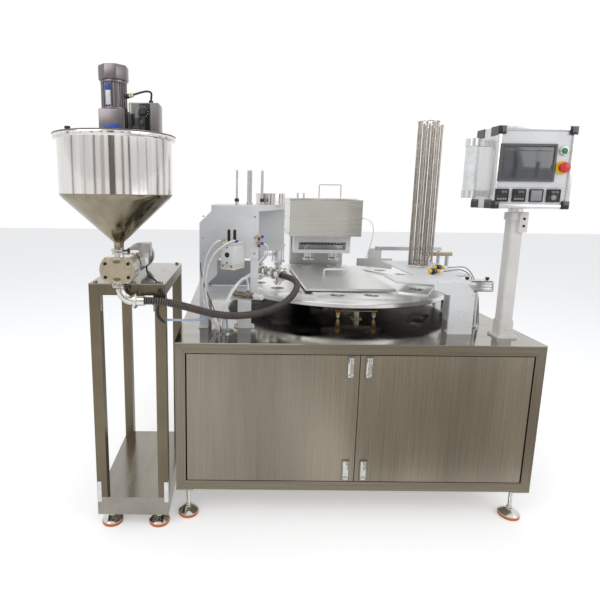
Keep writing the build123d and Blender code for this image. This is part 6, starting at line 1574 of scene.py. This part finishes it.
@dataclass
class PumpStand:
    """Bolts, plugs and shelf posts of the stand, and the cover, box and clamps of its pump."""

    x: Span = (-306.0, -24.0)
    y: Span = (-55.0, 465.0)
    top: float = 1005.0
    pump: Place = (-180.0, -90.0, 1066.0)
    cover_y: Span = (-133.0, -119.0)
    clamp_levels: Span = (1134.0, 1004.0)
    elbow_level: float = 950.0

    def build(self) -> None:
        """Make every fitting of the stand and the pump."""
        self.stand_trim()
        self.cover()
        self.plates()
        self.drive()
        self.clamps()
        self.leads()

    def stand_trim(self) -> None:
        """Make the top's bolts, the rail's plug, the shelf's corner posts and the weld strips."""
        (x0, x1), (y0, y1) = self.x, self.y
        places = [(x, y, self.top + 5) for x in (x0 + 20, x1 - 20) for y in (y0 + 20, y1 - 20)]
        bolt("stand_top_bolts", places, Axis.Z, 8, 4)
        profile = [(0, 5), (7, 5), (8.6, 3.4), (8.6, -0.5), (0, -0.5)]
        plug = Bench.lathe("stand_rail_plug", profile, (-44, y0, 980), Axis.FRONT, 24)
        fit(plug, "machine", BLACK_PLASTIC)
        posts = [Bench.block("corner", (x, x + 18), (y0 - 0.6, y0 + 17), (116, 206), 2.5)
                 for x in (x0 - 0.4, x1 - 17.6)]
        fit(Bench.join("shelf_corner_posts", posts), "machine", WHITE_PLASTIC)
        strips = [Bench.block("strip", (x, x + 6), (y, y + 6), (900, 961), 0.6)
                  for x in (x0 + 40, x1 - 46) for y in (y0 + 2, y1 - 8)]
        fit(Bench.join("stand_weld_strips", strips), "machine", SHEET)

    def cover(self) -> None:
        """Make the flattened cast cover with its stepped rim and four black socket screws."""
        x, _, z = self.pump
        profile = [(0, 0), (60, 0), (62, 1.6), (62, 9), (60, 11), (50, 11.6), (48, 14), (0, 14)]
        cover = Bench.lathe("pump_front_cover", profile, (x, self.cover_y[1], z), Axis.FRONT, 72)
        Bench.pick(cover)
        bpy.ops.object.mode_set(mode="EDIT")
        for side in (-1, 1):
            bpy.ops.mesh.select_all(action="SELECT")
            bpy.ops.mesh.bisect(plane_co=tuple(spot(x, 0, z + side * 46)), plane_no=(0, 0, side),
                                use_fill=True,
                                clear_outer=True)
        bpy.ops.object.mode_set(mode="OBJECT")
        fit(Bench.settle(cover, "pump_front_cover", 1.2), "machine", PUMP_COAT, "pump_cover")
        places = [(x + i, self.cover_y[0], z + j) for i in (-40, 40) for j in (-24, 24)]
        bolt("pump_cover_screws", places, Axis.FRONT, 6, 4, finish=DARK_STEEL)

    def plates(self) -> None:
        """Put the two bare oval plates on the cover."""
        x, _, z = self.pump
        ovals = []
        for side in (-1, 1):
            profile = [(0, 0), (13, 0), (13, 0.8), (12, 1.3), (0, 1.3)]
            oval = Bench.lathe("oval", profile, (0, 0, 0), Axis.FRONT, 32)
            oval.data.transform(Matrix.Translation(-spot(0, 0, 0)))
            oval.data.transform(Matrix.Diagonal((1.0, 1.0, 0.5, 1.0)))
            oval.data.transform(Matrix.Translation(spot(x, self.cover_y[0], z + side * 31)))
            ovals.append(oval)
        fit(Bench.join("bare_oval_plates", ovals), "machine", PLATE_OLIVE)

    def drive(self) -> None:
        """Make the fins of the pump's motor, the terminal box's lid and the gearbox's bolts."""
        x, _, z = self.pump
        fins = [Bench.lathe("fin", [(47, 0), (53, 0.4), (53, 2.6), (47, 3), (47, 0)], (x, y, z), Axis.Y, 36)
                for y in range(70, 262, 12)]
        hood = [(48.5, 0), (54, 0), (56, 3), (56, 38), (48, 44), (0, 44), (0, 41), (46, 41), (48.5, 0)]
        fins.append(Bench.lathe("fan_hood", hood, (x, 268, z), Axis.Y, 40))
        fit(Bench.join("pump_motor_fins", fins), "machine", PUMP_ALLOY)
        lid = Bench.block("lid", (x + 54, x + 93), (-22, 44), (z + 30, z + 84.6), 3)
        rim = Bench.block("rim", (x + 53, x + 94), (-23, 45), (z + 62, z + 67), 1)
        fit(Bench.join("terminal_box_lid", [rim, lid]), "machine", PUMP_ALLOY)
        bolt("gearbox_bolts", [(x + i, 51, z + j) for i in (-34, 34) for j in (-30, 34)], Axis.Y, 6, 5,
             finish=DARK_STEEL)

    def clamps(self) -> None:
        """Make the pipe clamps with their wing nuts at the hopper's outlet and the pump's ports."""
        x, y, _ = self.pump
        ferrule = [(17.2, -8), (25, -7), (29, -3), (29, 3), (25, 7), (17.2, 8), (17.2, -8)]
        rings = [Bench.lathe("clamp", ferrule, (x, y, z), steps=40) for z in self.clamp_levels]
        rings.append(Bench.lathe("clamp", ferrule, (x + 52, y, self.elbow_level), Axis.X, 40))
        fit(Bench.join("pipe_clamps", rings), "machine", BRIGHT_STEEL)
        wings = []
        for z in self.clamp_levels:
            wings.append(Bench.rod("bolt", (x + 20, y - 22, z), (x + 42, y - 26, z), 3.4, 12, 0.5))
            wings.append(Bench.block("wing", (x + 36, x + 44), (y - 34, y - 18), (z - 9, z + 9), 3))
        fit(Bench.join("clamp_wings", wings), "machine", BLACK_PLASTIC)

    def leads(self) -> None:
        """Run the pump's black lead and the other black lead under the stand's rail."""
        lead("pump_motor_lead", [(-106, 24, 1066), (-106, 8, 1030), (-60, -20, 1010), (-34, -64, 980),
                                 (-40, -66, 940), (-56, -64, 910), (-52, -62, 880), (-34, -60, 862),
                                 (-24, -50, 856)], 3.4, BLACK_LEAD)
        route = [(-180, -58, 962), (-168, -62, 930), (-140, -64, 924), (-112, -62, 930), (-100, -58, 955)]
        lead("stand_rail_lead", route, 3.0, BLACK_LEAD)


@dataclass
class Hopper:
    """The spun hopper, its lid and flap, the agitator's drive and the speed controller."""

    x: float = -180.0
    y: float = -90.0
    outlet: float = 1140.0
    lid_top: float = 1523.0
    flap_x: Span = (-361.0, -241.0)
    flap_y: Span = (-145.0, -35.0)
    gearbox_half: float = 44.0
    gearbox_top: float = 1607.0
    motor_top: float = 1700.0
    cap_top: float = 1746.4
    box_x: Span = (-133.0, -29.0)
    box_y: Span = (-95.0, -25.0)
    knob: Span = (-85.0, 1601.0)
    switch_z: float = 1565.0

    def build(self) -> None:
        """Make every visible piece of the hopper and its drive."""
        self.shell()
        self.rim()
        self.flap()
        self.drive()
        self.controller()
        self.cable()

    def turned(self, name: str, profile: list[Span]) -> Piece:
        """Turn a profile, with heights above the outlet, about the hopper's middle."""
        return Bench.lathe(name, profile, (self.x, self.y, self.outlet), steps=120)

    def shell(self) -> None:
        """Turn the smooth shell: outlet, cone with a rounded shoulder, cylinder and rolled rim."""
        cone = [(17, 0), (17, 16), (20, 23), (40, 41), (176, 169), (184, 177), (188.5, 184), (190, 188),
                (188, 188), (184, 182), (38, 44), (15.4, 24), (15, 0), (17, 0)]
        fit(self.turned("spun_hopper_cone", cone), "machine", CONE_MIRROR, "hopper_shell")
        wall = [(188, 187.8), (190, 187.8), (190, 364), (191.5, 367), (202, 368), (203, 370), (203, 378),
                (202, 379.6), (188, 379.6), (188, 187.8)]
        fit(self.turned("spun_hopper_wall", wall), "machine", HOPPER_MIRROR)
        seam = [(189.8, 186), (190.8, 186.6), (190.8, 188.4), (189.8, 189), (189.8, 186)]
        fit(self.turned("hopper_weld_seam", seam), "machine", SHEET)

    def rim(self) -> None:
        """Make the seal between lid and rim, and the lid's toggle clips."""
        seal = [(196, 379.4), (203.4, 379.4), (203.8, 380), (203.8, 381.6), (203.2, 382), (196, 382),
                (196, 379.4)]
        fit(self.turned("lid_seal", seal), "machine", SEAL_GREY)
        clips = []
        for turn in (-58, -122, 58, 122):
            place = ring_place((self.x, self.y), 196, turn)
            clips.append(Bench.rod("clip", (*place, self.lid_top + 1), (*place, self.lid_top + 9), 9, 24,
                                   2))
        fit(Bench.join("lid_clips", clips), "machine", BLACK_PLASTIC)

    def flap(self) -> None:
        """Make the folded flap with its turned grip and hinge knuckles."""
        y, top, hinge = self.y, self.lid_top, self.flap_x[1]
        sheet = Bench.block("sheet", self.flap_x, self.flap_y, (top + 0.4, top + 3.2), 1.0)
        middle = hinge - 30
        profile = [(0, 3), (15, 3), (15, 6), (9, 8), (9, 23), (7, 26), (0, 26)]
        grip = Bench.lathe("grip", profile, (middle, y, top), steps=32)
        bar = Bench.rod("bar", (middle - 38, y, top + 17), (middle + 10, y, top + 17), 6.5, 24, 2)
        fit(Bench.join("folded_lid_flap", [grip, bar, sheet]), "hopper_flap", BRIGHT_STEEL, "hopper_flap")
        x, z = hinge + 6.5, top + 2.6
        knuckles = [Bench.rod("knuckle", (x, low, z), (x, low + 20, z), 2.6, 16, 0.4)
                    for low in (-135, -65)]
        fit(Bench.join("flap_hinge_knuckles", knuckles), "machine", BRIGHT_STEEL)

    def drive(self) -> None:
        """Make the gearbox with its flange, the finned motor and the eight-sided cap."""
        x, y, half = self.x, self.y, self.gearbox_half
        low, middle, high = self.lid_top, self.gearbox_top, self.motor_top
        wide = half + 4
        parts = [Bench.block("gearbox", (x - half, x + half), (y - half, y + half), (low + 4, middle), 5),
                 Bench.block("flange", (x - wide, x + wide), (y - wide, y + wide), (low + 0.2, low + 6), 2)]
        for start, end, radius in ((middle - 1, high, 39), (middle - 1, middle + 5, 43.5),
                                   (high - 10, high - 2, 43.5)):
            parts.append(Bench.rod("round", (x, y, start), (x, y, end), radius, 40, 1.0))
        for n in range(24):
            place = ring_place((x, y), 39.5, 15 * n)
            parts.append(Bench.rod("flute", (*place, middle + 4), (*place, high - 8), 3.2, 8, 0))
        fit(Bench.join("agitator_gear_motor", parts), "machine", MOTOR_ALLOY, "agitator_drive")
        cap = Bench.rod("octagonal_fan_cap", (x, y, high - 2), (x, y, self.cap_top), 50, 8, 4)
        cap.data.transform(Matrix.Translation(spot(x, y, 0)) @ Matrix.Rotation(math.radians(22.5), 4, "Z")
                           @ Matrix.Translation(-spot(x, y, 0)))
        fit(cap, "machine", MOTOR_ALLOY)
        bolts = [(x + i, y + j, low + 7) for i in (-46, 46) for j in (-46, 46)]
        bolt("gear_flange_bolts", bolts, Axis.Z, 5, 4)
        blue = [Bench.block("blue", (x - 26, x + 26), (y - 45.2, y - 43), (low + 7, low + 35), 0.6),
                Bench.block("blue", (x - 17, x - 1), (y - 44.6, y - 41), (high - 36, high - 14), 0.6)]
        fit(Bench.join("bare_blue_plates", blue), "machine", LABEL_BLUE)
        white = Bench.block("bare_white_plate", (x - 17, x - 1), (y - 44.4, y - 41),
                            (high - 82, high - 36.4), 0.6)
        fit(white, "machine", LABEL_WHITE)

    def controller(self) -> None:
        """Make the controller's case, face, dial with its knob, and rocker."""
        (x0, x1), (y0, y1) = self.box_x, self.box_y
        low, high = self.lid_top, 1635
        case = [Bench.block("case", (x0, x1), (y0 + 6, y1), (low + 1, high - 1), 8),
                Bench.block("front", (x0 + 1, x1 - 1), (y0, y0 + 8), (low + 2, high - 2), 5)]
        fit(Bench.join("controller_case", case), "machine", BOX_ALLOY, "controller_box")
        kx, kz = self.knob
        face = Bench.block("controller_face", (kx - 38, kx + 26), (y0 - 1.6, y0 + 1), (low + 4, high - 5),
                           3)
        fit(face, "machine", BLACK_GLOSS)
        marks = []
        for n in range(11):
            px, pz = ring_place(self.knob, 18.5, 225 - 27 * n)
            marks.append(Bench.rod("mark", (px, y0 - 2.2, pz), (px, y0 - 1.4, pz), 1.3, 8, 0))
        fit(Bench.join("controller_dial_marks", marks), "machine", LABEL_WHITE)
        profile = [(0, 15.4), (8.6, 15.4), (9.6, 14.4), (10.4, 4), (12, 2.6), (12, 0.6), (3, 0.4), (3, -12),
                   (0, -12)]
        knob = Bench.lathe("speed_knob_cap", profile, (kx, y0 - 0.6, kz), Axis.FRONT, 30)
        line = Bench.block("pointer", (kx - 0.9, kx + 0.9), (y0 - 16.6, y0 - 15.6), (kz + 2, kz + 9), 0.2)
        fit(Bench.join("speed_knob_turned", [line, knob]), "speed_knob", KNOB_GREY, "speed_knob")
        z = self.switch_z
        rocker = Bench.block("run_switch_rocker", (kx - 7.8, kx + 7.8), (y0 - 5, y0 + 2),
                             (z - 9.8, z + 9.8), 2)
        fit(rocker, "run_switch", KNOB_GREY, "run_switch")

    def cable(self) -> None:
        """Run the black cable between the motor and the controller, with its connector."""
        x, y = self.x, self.y
        gland = Bench.rod("gland", (x + 42, y - 10, 1650), (x + 54, y - 12, 1652), 8, 6, 1)
        low = Bench.rod("low_gland", (-62, -60, 1634), (-62, -60, 1645), 8, 6, 1)
        fit(Bench.join("motor_cable_glands", [gland, low]), "machine", BLACK_PLASTIC)
        body = Bench.rod("white_motor_connector", (x + 54, y - 12, 1652), (x + 68, y - 15, 1655), 7, 20,
                         1.5)
        fit(body, "machine", WHITE_PLASTIC)
        ring = Bench.rod("orange_connector_ring", (x + 58, y - 13, 1653), (x + 63, y - 14, 1654), 8, 20, 1)
        fit(ring, "machine", AMBER_PLASTIC)
        route = [(x + 68, y - 15, 1655), (x + 86, y - 18, 1660), (x + 112, y - 4, 1670),
                 (x + 124, y + 14, 1668), (x + 120, y + 26, 1656), (x + 118, y + 30, 1645)]
        lead("agitator_motor_cable", route, 3.4, BLACK_LEAD)


def main() -> None:
    """Build the studio and every sub-assembly."""
    logging.basicConfig(level=logging.INFO, format="%(message)s")
    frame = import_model()
    Studio().build()
    Hoses().build()
    for assembly in (Cabinet(), Turntable(), FillingStation(), SealingStation(), LidStation(), BackGuides(),
                     OperatorPanel(), PumpStand(), Hopper()):
        assembly.build()
        log.info("%s is complete", type(assembly).__name__)
    dress(frame, FRAME_TUBE, "cabinet_frame")
    dress(frame, SHEET, "cabinet_panels")
    dress(frame, BACK_SHEET, "rear_guides", "sealing_column")
    dress(frame, DOOR_SHEET, "left_door", "right_door")
    dress(frame, TABLE_MIRROR, "table_top")
    dress(frame, BRIGHT_STEEL, "turntable_shaft", "filling_manifold", "film_magazine", "pump_fittings",
          "pump_body", "agitator")
    dress(frame, ROD_STEEL, "lid_magazine_rods")
    dress(frame, DARK_STEEL, "indexer")
    dress(frame, DISC_MIRROR, "turntable_disc", "mould_plates")
    dress(frame, COVER_SHEET, "centre_cover")
    dress(frame, WHITE_COAT, "filling_frame", "filling_top_cover", "lid_deck", "lid_column",
          "lid_placer", "heater_frame")
    dress(frame, CREAM_COAT, "guided_slide")
    dress(frame, POST_COAT, "panel_post")
    dress(frame, HEAD_SHEET, "sealing_head")
    dress(frame, CASE_PROFILE, "panel_box", "filling_actuators")
    dress(frame, LEVEL_PROFILE, "lid_stop")
    dress(frame, BLACK_GLOSS, "panel_corner_caps")
    dress(frame, STAND_TUBE, "stand_frame")
    dress(frame, STAND_SHEET, "stand_plates", "hopper_lid")


if __name__ == "__main__":
    main()
